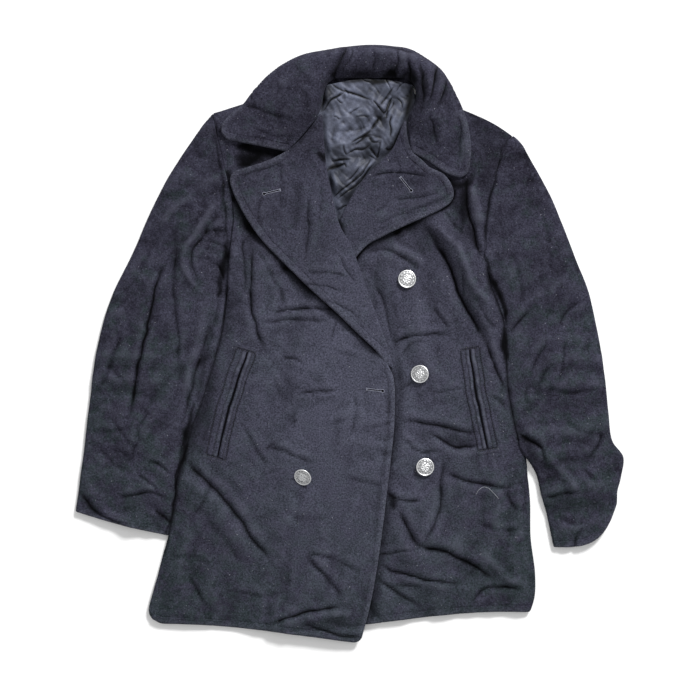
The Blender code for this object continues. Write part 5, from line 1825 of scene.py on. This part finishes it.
class CoatColours(bpy.types.PropertyGroup):
    """Colours of the cloth, its thread and its metal."""
    melton_deep: bpy.props.FloatVectorProperty(
        **colour_values("Melton, deep", "Nap that leans away", "#292733"))
    melton_mid: bpy.props.FloatVectorProperty(
        **colour_values("Melton", "Ground of the navy wool", "#353442"))
    melton_pale: bpy.props.FloatVectorProperty(
        **colour_values("Melton, pale", "Nap that stands up", "#4a4b5a"))
    melton_slate: bpy.props.FloatVectorProperty(
        **colour_values("Melton, slate", "Patches where the dye has turned greyer", "#2e373a"))
    # Painted light: the lighter middle of the coat, a painted pool of light
    melton_brushed: bpy.props.FloatVectorProperty(
        **colour_values("Melton, brushed", "Middle of the coat, where it is worn smoother", "#545565"))
    # Real wear along the rubbed edges, and also the painted highlight on ridges
    melton_worn_and_highlight: bpy.props.FloatVectorProperty(
        **colour_values("Melton, rubbed", "Wool along the rubbed edges", "#5f616e"))
    # Satin's ground colour, then painted light in its patches and a painted highlight on its ridges
    satin_deep: bpy.props.FloatVectorProperty(
        **colour_values("Satin, deep", "Lining where it lies away from the light", "#2c2f39"))
    satin_light: bpy.props.FloatVectorProperty(
        **colour_values("Satin, light", "Lining on its ridges", "#757d90"))
    satin_pale: bpy.props.FloatVectorProperty(
        **colour_values("Satin, pale", "Lining where it takes the light", "#5a5e6f"))
    pewter: bpy.props.FloatVectorProperty(
        **colour_values("Pewter", "Buttons where they are rubbed bright", "#e6e7e8"))
    tarnish: bpy.props.FloatVectorProperty(
        **colour_values("Tarnish", "Low places of the buttons", "#6c6d70"))
    thread_navy: bpy.props.FloatVectorProperty(
        **colour_values("Navy thread", "Edge and pocket stitching", "#2c2c36"))
    thread_grey: bpy.props.FloatVectorProperty(
        **colour_values("Grey thread", "Buttonhole stitching", "#8a8c9c"))
    lint: bpy.props.FloatVectorProperty(
        **colour_values("Lint", "Stray fibres", "#9a9ca4"))
    board: bpy.props.FloatVectorProperty(
        **colour_values("Board", "Surface that the coat lies on", "#f4f4f4"))


SEAMS = {}            # the lines that are sewn last, by the pieces that they lie on


def store_seams(name, lines):
    """Keep the lines of a piece that are long enough to sew."""
    SEAMS[name] = [line for line in lines if len(line) > 2]


class COAT_OT_back(bpy.types.Operator):
    """Make the back panel, which lies flat on its underside."""
    bl_idname = "coat.back"
    bl_label = "Back"

    def execute(self, context):
        plan = inset_plan(fine_plan(BACK, BACK_CELL), MELTON / 2)
        points = raised(plan, back_level)
        gap = free_edge_gap(plan, [plan[0]])
        piece = cloth_piece("Back", points, material(boiled_wool_melton), MELTON / 2, MELTON / 2, gap)
        on_coat(piece, "melton", "back")
        return {"FINISHED"}


class COAT_OT_fronts(bpy.types.Operator):
    """Make the two front panels, the left one lying over the right one."""
    bl_idname = "coat.fronts"
    bl_label = "Fronts"

    def execute(self, context):
        cell = context.scene.coat_sizes.cell / MM
        stitch = context.scene.coat_sizes.edge_stitch / MM
        seams = []
        for name, front in FRONTS.items():
            on_top = name == "Front_left"
            plan = inset_plan(fine_plan(front.sections, cell), MELTON / 2)
            plan = round_corner(plan, False, True, BREAK_CORNER[name])
            plan = round_corner(plan, False, False, HEM_CORNER)
            points = raised(plan, front.surface)
            x, y = plan[:, :, 0], plan[:, :, 1]
            edges = [plan[0]]
            if on_top:
                edges.append(plan[plan[:, -1, 1] < BREAK_Y, -1])
            gap = free_edge_gap(plan, edges)
            shown = 1.0 if on_top else past_over(x, y)
            points[:, :, 2] += edge_bead(x, y, gap, stitch) * shown
            # Painted shade of hollows and of the creases' dark lines, painted shadows along the pieces
            # over it, low places painted darker and ridges a painted highlight
            shade = np.maximum(hollow_shade(x, y, front.hollows),
                               crease_relief(x, y, front.creases)[1] * shown)
            for line, strength, breadth in front.shadows:
                shade = np.maximum(shade, strength * bell(distance_to(x, y, line), 0.0, breadth))
            shade = with_lie(shade, points[:, :, 2] - front.level(x, y), round(LIE_REACH / cell))
            down = MELTON / 2 + TURNED_EDGE * bell(gap, 0.0, TURNED_REACH)
            piece = cloth_piece(name, points, material(boiled_wool_melton), MELTON / 2, down, gap, shade)
            on_coat(piece, "melton", front.node)
            top = upper_side(points, MELTON / 2 - STITCH_SINK)
            hem = inner_line(top, "bottom", stitch, stitch)
            if on_top:
                edge = inner_line(top, "right", stitch, stitch)
                seams.extend([hem, edge[edge[:, 1] < BREAK_Y - STITCH_BREAK]])
            else:
                seams.append(hem[hem[:, 0] > edge_x(FRONT_OVER, "right", hem[:, 1]) + STITCH_PAST])
        store_seams("fronts", seams)
        return {"FINISHED"}


class COAT_OT_lapels(bpy.types.Operator):
    """Make the two lapels, turned back on the fronts."""
    bl_idname = "coat.lapels"
    bl_label = "Lapels"

    def execute(self, context):
        stitch = context.scene.coat_sizes.edge_stitch / MM
        seams = []
        for name, lapel in LAPELS.items():
            plan = inset_plan(fine_plan(lapel.sections, LAPEL_CELL), TURNED / 2)
            plan = round_corner(plan, True, lapel.free == "right", LAPEL_CORNER)
            if lapel.free == "right":
                plan = nudged(plan, LAPEL_NUDGES)
            points = raised(plan, lapel_surface(lapel))
            x, y = plan[:, :, 0], plan[:, :, 1]
            column = 0 if lapel.free == "left" else -1
            gorge = np.array(GORGE[lapel.free])
            loose = distance_to(x[-1], y[-1], gorge) > GORGE_REACH
            gap = free_edge_gap(plan, [plan[:, column], plan[-1][loose]])
            points[:, :, 2] += edge_bead(x, y, gap, stitch)
            # Painted shade of hollows and creases, low places painted darker and ridges a painted
            # highlight
            shade = np.maximum(hollow_shade(x, y, lapel.hollows), crease_relief(x, y, lapel.creases)[1])
            relief = points[:, :, 2] - lapel_level(lapel, x, y)
            shade = with_lie(shade, relief, round(LIE_REACH / LAPEL_CELL))
            piece = cloth_piece(name, points, material(boiled_wool_melton), TURNED / 2, TURNED / 2, gap,
                                shade, rim=6)
            on_coat(piece, "melton", lapel.node)
            top = upper_side(points, TURNED / 2 - STITCH_SINK)
            seams.append(inner_line(top, lapel.free, stitch, stitch))
            row = inner_line(top, "top", stitch, stitch)
            corner = plan[-1, column]
            notch = np.hypot(*(gorge[-1] - corner)) - GORGE_STITCH
            seams.append(row[np.hypot(*(row[:, :2] - corner).T) < notch])
        store_seams("lapels", seams)
        return {"FINISHED"}


class COAT_OT_collar(bpy.types.Operator):
    """Make the collar, which stands behind the neck and falls over the shoulders."""
    bl_idname = "coat.collar"
    bl_label = "Collar"

    def execute(self, context):
        stitch = context.scene.coat_sizes.edge_stitch / MM
        places = even_places([(r.neck_x, r.neck_y, r.out_x, r.out_y, 0.0) for r in COLLAR], COLLAR_RIBS)
        ribs = [Rib(*row) for row in through_rows(COLLAR, places)]
        grid = np.array([rib_points(rib, COLLAR_ROWS) for rib in ribs])[:, ::-1]
        points, upward = end_inset(grid[:, :, :3], TURNED / 2), grid[:, :, 3]
        for last_rib in (False, True):
            points = round_corner(points, last_rib, False, COLLAR_CORNER)
        points = nudged(points, COLLAR_NUDGES)
        x, y = points[:, :, 0], points[:, :, 1]
        run = run_of(points, axis=1)
        # Ribs that lie flat on the front have a free outer edge, the others turn under there
        flat = np.clip(1.0 - eased(*FLAT_TUCK, np.array([r.tuck for r in ribs])), 0.0, 1.0)[:, None]
        outer = np.where(flat > 0.02, run + (1 - flat) * FLAT_FADE, FAR_EDGE)
        gap = np.minimum(outer, free_edge_gap(points, [points[0], points[-1]]))
        relief, dark = crease_relief(x, y, CREASES_COLLAR)
        relief = relief + COLLAR_RUMPLE * rumple(x, y, SEEDS["collar"])
        relief = relief * upward * eased(0.0, SEAM_REACH, run[:, -1:] - run)
        relief = relief + edge_bead(x, y, gap, stitch) * upward
        points = points + grid_normals(points) * relief[:, :, None]
        # Painted shade of the collar's hollows, uneven in patches, with the creases' dark lines and a
        # painted highlight on ridges
        patches = 0.80 + 0.35 * value_noise(x, y, 12.0, SEEDS["collar_patches"])
        shade = np.clip(hollow_shade(x, y, HOLLOWS_COLLAR) * patches, 0.0, 1.0)
        shade = with_lie(np.maximum(shade, dark * upward), relief, COLLAR_LIE)
        piece = cloth_piece("Collar", points, material(boiled_wool_melton), TURNED / 2, TURNED / 2, gap,
                            shade, rim=6)
        on_coat(piece, "melton", "collar")
        top = upper_side(points, TURNED / 2 - STITCH_SINK)
        fall = inner_line(top, "left", stitch, stitch)
        lines = [fall[:len(fall) // 8], fall[-len(fall) // 8:]]
        lines.extend(inner_line(top, end, stitch, stitch) for end in ("bottom", "top"))
        store_seams("collar", lines)
        return {"FINISHED"}


class COAT_OT_lining(bpy.types.Operator):
    """Make the satin lining that shows between the lapels."""
    bl_idname = "coat.lining"
    bl_label = "Lining"

    def execute(self, context):
        plan = inset_plan(fine_plan(LINING, LINING_CELL), SATIN / 2)
        points = raised(plan, lining_surface)
        x, y = plan[:, :, 0], plan[:, :, 1]
        # Painted shade in the lining's creases and hollows, low places painted darker and a painted
        # highlight on its ridges
        dark = np.clip(SATIN_DARK * crease_relief(x, y, CREASES_LINING)[1], 0.0, 1.0)
        shade = np.maximum(hollow_shade(x, y, HOLLOWS_LINING), dark)
        shade = with_lie(shade, points[:, :, 2] - lining_level(x, y), *SATIN_LIE)
        piece = cloth_piece("Lining", points, material(crinkled_satin_lining), SATIN / 2, SATIN / 2,
                            shade=shade, rim=2)
        on_coat(piece, "satin", "lining")
        return {"FINISHED"}


class COAT_OT_sleeves(bpy.types.Operator):
    """Make the two sleeves, each one flattened tube from its armhole to its cuff."""
    bl_idname = "coat.sleeves"
    bl_label = "Sleeves"

    def execute(self, context):
        for side, sleeve in SLEEVES.items():
            tube = sleeve_tube(side, sleeve)
            x, y, upper = tube[:, :, 0], tube[:, :, 1], tube[:, :, 2] > MELTON + SEAM_GAP / 2
            cuff = np.linalg.norm(tube - tube[:1], axis=2)
            # Painted shade of hollows and creases, a painted shadow along the body's side, and a painted
            # highlight on ridges
            shade = np.maximum(hollow_shade(x, y, sleeve.hollows), crease_relief(x, y, sleeve.creases)[1])
            near = bell(distance_to(x, y, body_side(side)), 0.0, SIDE_SHADOW[1])
            shade = np.maximum(shade, SLEEVE_SHADOW * near)
            shade = with_lie(shade, sleeve_relief(sleeve, x, y), round(LIE_REACH / SLEEVE_CELL)) * upper
            bulge = np.where(upper, bells(cuff, [CUFF_BULGE]), 0.0)
            tube = tube + grid_normals(tube, wrap=True) * bulge[:, :, None]
            piece = cloth_piece("Sleeve_" + side, tube, material(boiled_wool_melton), MELTON / 2,
                                MELTON / 2, cuff, shade, wrap=True)
            on_coat(piece, "melton", f"sleeve_{side}_top", f"sleeve_{side}_under")
        return {"FINISHED"}


class COAT_OT_stage(bpy.types.Operator):
    """Make the table, the lights and the camera."""
    bl_idname = "coat.stage"
    bl_label = "Stage"

    def execute(self, context):
        scene = context.scene
        board = bpy.data.meshes.new("Board")
        corners = [(-1, -1), (1, -1), (1, 1), (-1, 1)]
        board.from_pydata([(BOARD_HALF * x, BOARD_HALF * y, 0) for x, y in corners], [], [(0, 1, 2, 3)])
        board.materials.append(matt_board(scene.coat_colours))
        table = bpy.data.objects.new("Board", board)
        scene.collection.objects.link(table)
        world = bpy.data.worlds.new("soft_room")
        world.use_nodes = True
        ground = world.node_tree.nodes["Background"]
        ground.inputs["Color"].default_value = (1.0, 1.0, 1.0, 1.0)
        ground.inputs["Strength"].default_value = ROOM_LIGHT
        scene.world = world
        scene.view_settings.view_transform = "Standard"
        for name, place, power, size in LAMPS:
            lamp = bpy.data.lights.new(name, "AREA")
            lamp.shape = "DISK"
            lamp.size = size
            lamp.energy = power
            holder = bpy.data.objects.new(name, lamp)
            holder.location = place
            holder.rotation_euler = (-Vector(place)).to_track_quat("-Z", "Y").to_euler()
            scene.collection.objects.link(holder)
        camera = bpy.data.cameras.new("Camera")
        camera.sensor_width = SENSOR
        camera.lens = SENSOR * CAMERA_HEIGHT / FRAME_WIDTH
        viewer = bpy.data.objects.new("Camera", camera)
        viewer.location = (*FRAME_MIDDLE, CAMERA_HEIGHT + 0.01)
        scene.collection.objects.link(viewer)
        scene.camera = viewer
        return {"FINISHED"}


class PocketGrid:
    """Cells of a pocket: places along its slit and offsets across it, and its points seen from above."""

    def __init__(self, side, pocket):
        self.front_reach, self.side_reach = WELT_REACH[side]
        top = np.array([pocket.top_x, pocket.top_y], dtype=float)
        foot = np.array([pocket.foot_x, pocket.foot_y], dtype=float)
        self.length = length = np.hypot(*(foot - top))
        run = (foot - top) / length
        across = np.array([-run[1], run[0]])
        self.along = np.linspace(-END_MARGIN, length + END_MARGIN,
                                 round((length + 2 * END_MARGIN) / END_STEP))
        self.offsets = np.arange(-self.side_reach - WELT_MARGIN, self.front_reach + WELT_MARGIN + 0.01,
                                 WELT_STEP)
        bend = pocket.bow * np.sin(math.pi * np.clip(self.along / length, 0.0, 1.0))
        wobble = 0.6 * value_noise(self.along, self.along * 0.0, 14.0, SEEDS["pocket_edge"])
        shift = (self.offsets[None, :] + wobble[:, None]) * (1.0 if side == "left" else -1.0)
        middle = top + run * self.along[:, None] + across * bend[:, None]
        self.plan = middle[:, None, :] + across * shift[:, :, None]
        self.over, self.place = np.meshgrid(self.offsets, self.along)
        self.rim = np.minimum(
            np.minimum(self.over + self.side_reach, self.front_reach - self.over) + WELT_MARGIN,
            np.minimum(self.place, length - self.place) + END_MARGIN)
        self.ends = eased(-1.0, 3.0, self.place) * (1 - eased(length - 3.0, length + 1.0, self.place))
        self.gape = POCKET_GAPE[0] + POCKET_GAPE[1] * np.sin(math.pi * np.clip(self.place / length, 0, 1))

    def relief(self):
        """Height over the front: two lips, the welts between their stitching, the slot and the ends."""
        over, place, length = self.over, self.place, self.length
        # Each bell has its height, its place and its width in millimetres
        lips = bells(over, [(1.05, 3.6, 2.3), (1.25, -4.0, 2.6)])
        welt = 0.45 * eased(-self.side_reach, -self.side_reach + 1.6, over)
        welt = welt * (1 - eased(self.front_reach - 1.6, self.front_reach, over))
        groove = bells(over, [(-0.55, -self.side_reach, 1.1), (-0.5, self.front_reach, 1.1),
                              (-0.45, LIP_ROWS[0], 0.9), (-0.4, LIP_ROWS[1], 0.9)])
        slot = -2.4 * bell(over, 0.0, self.gape)
        bars = bells(place, [(-0.5, 0.0, 1.2), (-0.5, length, 1.2), (0.5, -3.2, 2.2),
                             (0.5, length + 3.2, 2.2)])
        relief = np.maximum((lips + welt + groove + slot) * self.ends + bars, 0.12)
        return relief * eased(0.0, 3.5, self.rim) + 0.25 - 1.1 * (1 - eased(0.0, 3.0, self.rim))

    def shade(self):
        """Painted shade in the slit and along the stitch rows, and lips that are worn paler in patches."""
        over, place = self.over, self.place
        rows = bells(over, [(1.0, -self.side_reach, 1.2), (1.0, self.front_reach, 1.2),
                            (0.8, LIP_ROWS[0], 1.0), (0.7, LIP_ROWS[1], 1.0)])
        bars = bells(place, [(1.0, 0.0, 1.3), (1.0, self.length, 1.3)])
        worn = bells(over, [(1.0, 3.6, 1.5), (1.0, -4.2, 1.6)]) * self.ends
        noise = value_noise(self.plan[:, :, 0], self.plan[:, :, 1], 9.0, SEEDS["pocket_wear"])
        patches = np.clip(0.4 + 0.9 * noise, 0.0, 1.0)
        shade = 0.85 * np.clip(rows * self.ends + bars * eased(5.0, 7.0, self.rim), 0.0, 1.0)
        shade = shade - 0.3 * worn * patches
        # The slit is painted nearly black, as its shade
        slit = np.exp(-((over / self.gape) ** 4)) * self.ends
        return shade * (1.0 - slit) + slit

    def rows(self, top):
        """The stitch rows: four along the slit, and two across each of its ends."""
        first, last = np.searchsorted(self.along, [0.0, self.length])
        columns = [int(np.argmin(np.abs(self.offsets - offset)))
                   for offset in (-self.side_reach, self.front_reach, *LIP_ROWS)]
        rows = [top[first:last + 1, j] for j in columns]
        for i in (first, last, first - BAR_ROWS, last + BAR_ROWS):
            rows.append(top[i, columns[0]:columns[1] + 1])
        return rows


class COAT_OT_pockets(bpy.types.Operator):
    """Make the two slanted welt pockets, each with its lips and the bars at its ends."""
    bl_idname = "coat.pockets"
    bl_label = "Pockets"

    def execute(self, context):
        rows = []
        for side, pocket in POCKETS.items():
            grid = PocketGrid(side, pocket)
            points = raised(grid.plan, FRONTS["Front_" + side].surface, grid.relief())
            shade = grid.shade()
            if grid_normals(points)[:, :, 2].mean() < 0:
                points, shade = points[::-1], shade[::-1]
            piece = cloth_piece("Pocket_" + side, points, material(boiled_wool_melton), MELTON / 2,
                                WELT_DOWN, shade=shade, rim=1)
            on_coat(piece, "melton", f"pocket_{side}_front_welt", f"pocket_{side}_side_welt")
            top = upper_side(points, MELTON / 2 + 0.1)
            rows.extend(grid.rows(top[::-1] if top[0, 0, 1] < top[-1, 0, 1] else top))
        store_seams("pockets", rows)
        return {"FINISHED"}


def button_shape():
    """A button's places, faces and low spots: domed face, roped rim, ring of beads, plain knot."""
    rings = np.concatenate([np.linspace(0.02, 1.0, BUTTON_FACE), [ring[0] for ring in BUTTON_BACK]])
    angle = np.linspace(0.0, 2 * math.pi, BUTTON_AROUND, endpoint=False)
    share, turn = np.meshgrid(rings, angle, indexing="ij")
    # Heights are in millimetres, places and breadths are shares of the button's radius
    relief = 0.55 * bell(share, 0.92, 0.055) * (1 + 0.28 * np.sin(30 * turn + 26 * share))
    beads = np.clip(np.cos(BEADS * turn), 0, 1) ** 2 * bell(share, 0.735, 0.055)
    relief = relief + 0.40 * beads - 0.22 * bell(share, 0.82, 0.03)
    relief = relief + 0.55 * bell(share, 0.34 + 0.13 * np.cos(4 * turn), 0.055)
    relief = relief + 0.50 * bell(share, 0.30 - 0.15 * np.cos(4 * turn + 0.6), 0.05)
    relief = relief + 0.55 * bell(share, 0.0, 0.10)
    height = (0.70 + 0.16 * (1 - share**2)) * BUTTON_HEIGHT + relief
    low = np.clip(0.85 - relief / 0.42, 0.0, 1.0) * (share < 0.93)
    height[BUTTON_FACE:] = [[BUTTON_HEIGHT * ring[1]] for ring in BUTTON_BACK]
    low[BUTTON_FACE:] = 0.4
    radius = BUTTON_WIDTH / 2
    places = np.stack([share * radius * np.cos(turn), share * radius * np.sin(turn), height], axis=2)
    number = np.arange(share.size).reshape(share.shape)
    after = np.roll(number, -1, axis=1)
    quads = np.stack([number[:-1], number[1:], after[1:], after[:-1]], axis=2).reshape(-1, 4).tolist()
    top, foot = share.size, share.size + 1
    caps = [(top, here, there) for here, there in zip(number[0].tolist(), after[0].tolist())]
    caps += [(foot, there, here) for here, there in zip(number[-1].tolist(), after[-1].tolist())]
    ends = [(0.0, 0.0, height[0].mean()), (0.0, 0.0, 0.0)]
    places = np.concatenate([places.reshape(-1, 3), ends])
    return places, quads + caps, np.concatenate([low.ravel(), [0.0, 0.4]])


def rotation(axis, degrees):
    """Matrix of a turn about an axis."""
    x, y, z = np.array(axis) / np.linalg.norm(axis)
    c, s = math.cos(math.radians(degrees)), math.sin(math.radians(degrees))
    return (c * np.eye(3) + s * np.array([[0, -z, y], [z, 0, -x], [-y, x, 0]])
            + (1 - c) * np.outer((x, y, z), (x, y, z)))


class COAT_OT_buttons(bpy.types.Operator):
    """Make the four metal buttons, with a roped rim and a plain knot on each face."""
    bl_idname = "coat.buttons"
    bl_label = "Buttons"

    def execute(self, context):
        for name, button in BUTTONS.items():
            surface = over_surface if name == "button_over" else under_surface
            spots = SEAT_REACH * np.array([(-1, 0), (1, 0), (0, -1), (0, 1), (0, 0)])
            west, east, south, north, level = surface(button.x + spots[:, 0], button.y + spots[:, 1])
            places, faces, hollow = button_shape()
            axis_x, axis_y, angle = BUTTON_TILT[name]
            places = places @ rotation((0, 0, 1), button.turn).T @ rotation((axis_x, axis_y, 0), angle).T
            slope_x, slope_y = (east - west) / (2 * SEAT_REACH), (north - south) / (2 * SEAT_REACH)
            places[:, 2] += places[:, 0] * slope_x + places[:, 1] * slope_y
            lift = TILT_LIFT * BUTTON_WIDTH / 2 * abs(math.sin(math.radians(angle)))
            places = places + np.array([button.x, button.y, level + MELTON / 2 + SEAM_GAP + lift])
            piece = place_mesh(name.replace("button", "Button"), places, faces, material(cast_pewter),
                               {"hollow": hollow})
            on_coat(piece, "pewter", name)
        return {"FINISHED"}


def keyhole(shape, eye, run, slit):
    """An outline of a buttonhole: round its eye, down one side of its slit and back up the other."""
    side = np.array([-run[1], run[0]])
    loop = [eye + shape.radius * (run * math.cos(a) + side * math.sin(a))
            for a in np.radians(shape.angles)]
    places = np.linspace(shape.start, slit - shape.short, shape.count)
    lower = [eye + run * s - side * shape.half for s in places]
    upper = [eye + run * s + side * shape.half for s in places[::-1]]
    return np.array(loop + lower + upper)


class COAT_OT_buttonholes(bpy.types.Operator):
    """Make the three keyhole buttonholes: a slit painted as a near-black sheet of shade, its eye and the
    purled thread round it.
    """
    bl_idname = "coat.buttonholes"
    bl_label = "Buttonholes"

    def execute(self, context):
        purls, slit_shade_sheets, faces = [], [], []
        for hole in BUTTONHOLES:
            on_lapel = hole.on in LAPELS
            surface = lapel_surface(LAPELS[hole.on]) if on_lapel else FRONTS[hole.on].surface
            face = (TURNED if on_lapel else MELTON) / 2
            eye = np.array([hole.eye_x, hole.eye_y], dtype=float)
            run = np.array([hole.end_x, hole.end_y], dtype=float) - eye
            slit = np.hypot(*run)
            run = run / slit
            line = keyhole(PURL, eye, run, slit)
            purls.append(raised(np.concatenate([line, line[:1]]), surface, face + PURL_RISE))
            side = np.array([-run[1], run[0]])
            bar = np.array([eye + run * (slit + SLIT.short) + side * s for s in PURL_BAR])
            purls.append(raised(bar, surface, face + PURL_RISE))
            edge = keyhole(SLIT, eye, run, slit)
            spine = np.array([eye + run * np.clip((p - eye) @ run, 0.0, slit - SLIT.short) for p in edge])
            start, count = sum(len(part) for part in slit_shade_sheets), len(edge)
            slit_shade_sheets.append(raised(edge, surface, face + SLIT_RISE))
            slit_shade_sheets.append(raised(spine, surface, face + SPINE_RISE))
            for i in range(count):
                after = (i + 1) % count
                faces.append((start + i, start + after, start + count + after, start + count + i))
        # The slits are a near-black sheet of painted shade
        on_coat(place_mesh("Buttonhole_slits", np.concatenate(slit_shade_sheets), faces, wool_in_shade()), "melton")
        grey = dyed_thread("grey_spun_thread", "thread_grey")
        sew("Buttonhole_thread", purls, grey, PURL_STITCH)
        return {"FINISHED"}


class COAT_OT_stitching(bpy.types.Operator):
    """Sew the edge stitching, the pockets and the line of the pocket bag."""
    bl_idname = "coat.stitching"
    bl_label = "Stitching"

    def execute(self, context):
        sizes = context.scene.coat_sizes
        pitch, width = sizes.stitch_pitch / MM, sizes.thread_width / MM
        navy = dyed_thread("navy_spun_thread", "thread_navy")
        edges = SEAMS["fronts"] + SEAMS["lapels"] + SEAMS["collar"]
        sew("Edge_stitching", edges, navy, Stitch(pitch, pitch * EDGE_SHARE, width))
        sew("Pocket_stitching", SEAMS["pockets"], navy, POCKET_STITCH)
        corners = np.array(POCKET_BAG_LINE)
        t = np.linspace(0, len(corners) - 1, 60)
        bag = np.stack([np.interp(t, np.arange(len(corners)), corners[:, k]) for k in range(2)], axis=1)
        sew("Pocket_bag_stitching", [raised(bag, under_surface, MELTON / 2)], navy, BAG_STITCH)
        return {"FINISHED"}


class COAT_OT_lint(bpy.types.Operator):
    """Scatter stray fibres over the wool, and lay one loose thread on the right skirt."""
    bl_idname = "coat.lint"
    bl_label = "Stray fibres"

    def execute(self, context):
        fibre = dyed_thread("stray_cotton_fibre", "lint")
        inputs = {"Length": context.scene.coat_sizes.lint_length, "Width": 0.35 * MM, "Material": fibre}
        for number, (name, density) in enumerate(LINT_DENSITY.items()):
            carrier = bpy.data.objects[name].data
            inputs.update({"Density": density, "Seed": SEEDS["lint"] + number})
            on_coat(grow("Fibres_" + name, lint_tree(), carrier, inputs), "melton")
        line = through_rows(LOOSE_THREAD, np.linspace(0, len(LOOSE_THREAD) - 1, 24))
        line = raised(line, under_surface, MELTON / 2 + 0.25)
        sew("Loose_thread", [line], fibre, LOOSE_TWIST)
        return {"FINISHED"}


class COAT_PT_panel(bpy.types.Panel):
    """Everything that makes the coat, in order."""
    bl_label = "Pea coat"
    bl_idname = "COAT_PT_panel"
    bl_space_type = "VIEW_3D"
    bl_region_type = "UI"
    bl_category = "Pea coat"

    def draw(self, context):
        for group in (context.scene.coat_sizes, context.scene.coat_colours):
            box = self.layout.box()
            for name in group.bl_rna.properties.keys():
                if name not in {"rna_type", "name"}:
                    box.prop(group, name)
        for operator in OPERATORS:
            self.layout.operator(operator.bl_idname)


OPERATORS = [
    COAT_OT_stage, COAT_OT_back, COAT_OT_fronts, COAT_OT_sleeves, COAT_OT_lapels, COAT_OT_collar,
    COAT_OT_lining, COAT_OT_pockets, COAT_OT_buttons, COAT_OT_buttonholes, COAT_OT_stitching,
    COAT_OT_lint,
]
CLASSES = [CoatSizes, CoatColours, *OPERATORS, COAT_PT_panel]


def register():
    for kind in CLASSES:
        bpy.utils.register_class(kind)
    bpy.types.Scene.coat_sizes = bpy.props.PointerProperty(type=CoatSizes)
    bpy.types.Scene.coat_colours = bpy.props.PointerProperty(type=CoatColours)


def unregister():
    del bpy.types.Scene.coat_sizes
    del bpy.types.Scene.coat_colours
    for kind in reversed(CLASSES):
        bpy.utils.unregister_class(kind)


def main():
    """Make the coat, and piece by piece."""
    register()
    for operator in OPERATORS:
        group, name = operator.bl_idname.split(".")
        getattr(getattr(bpy.ops, group), name)()


if __name__ == "__main__":
    main()
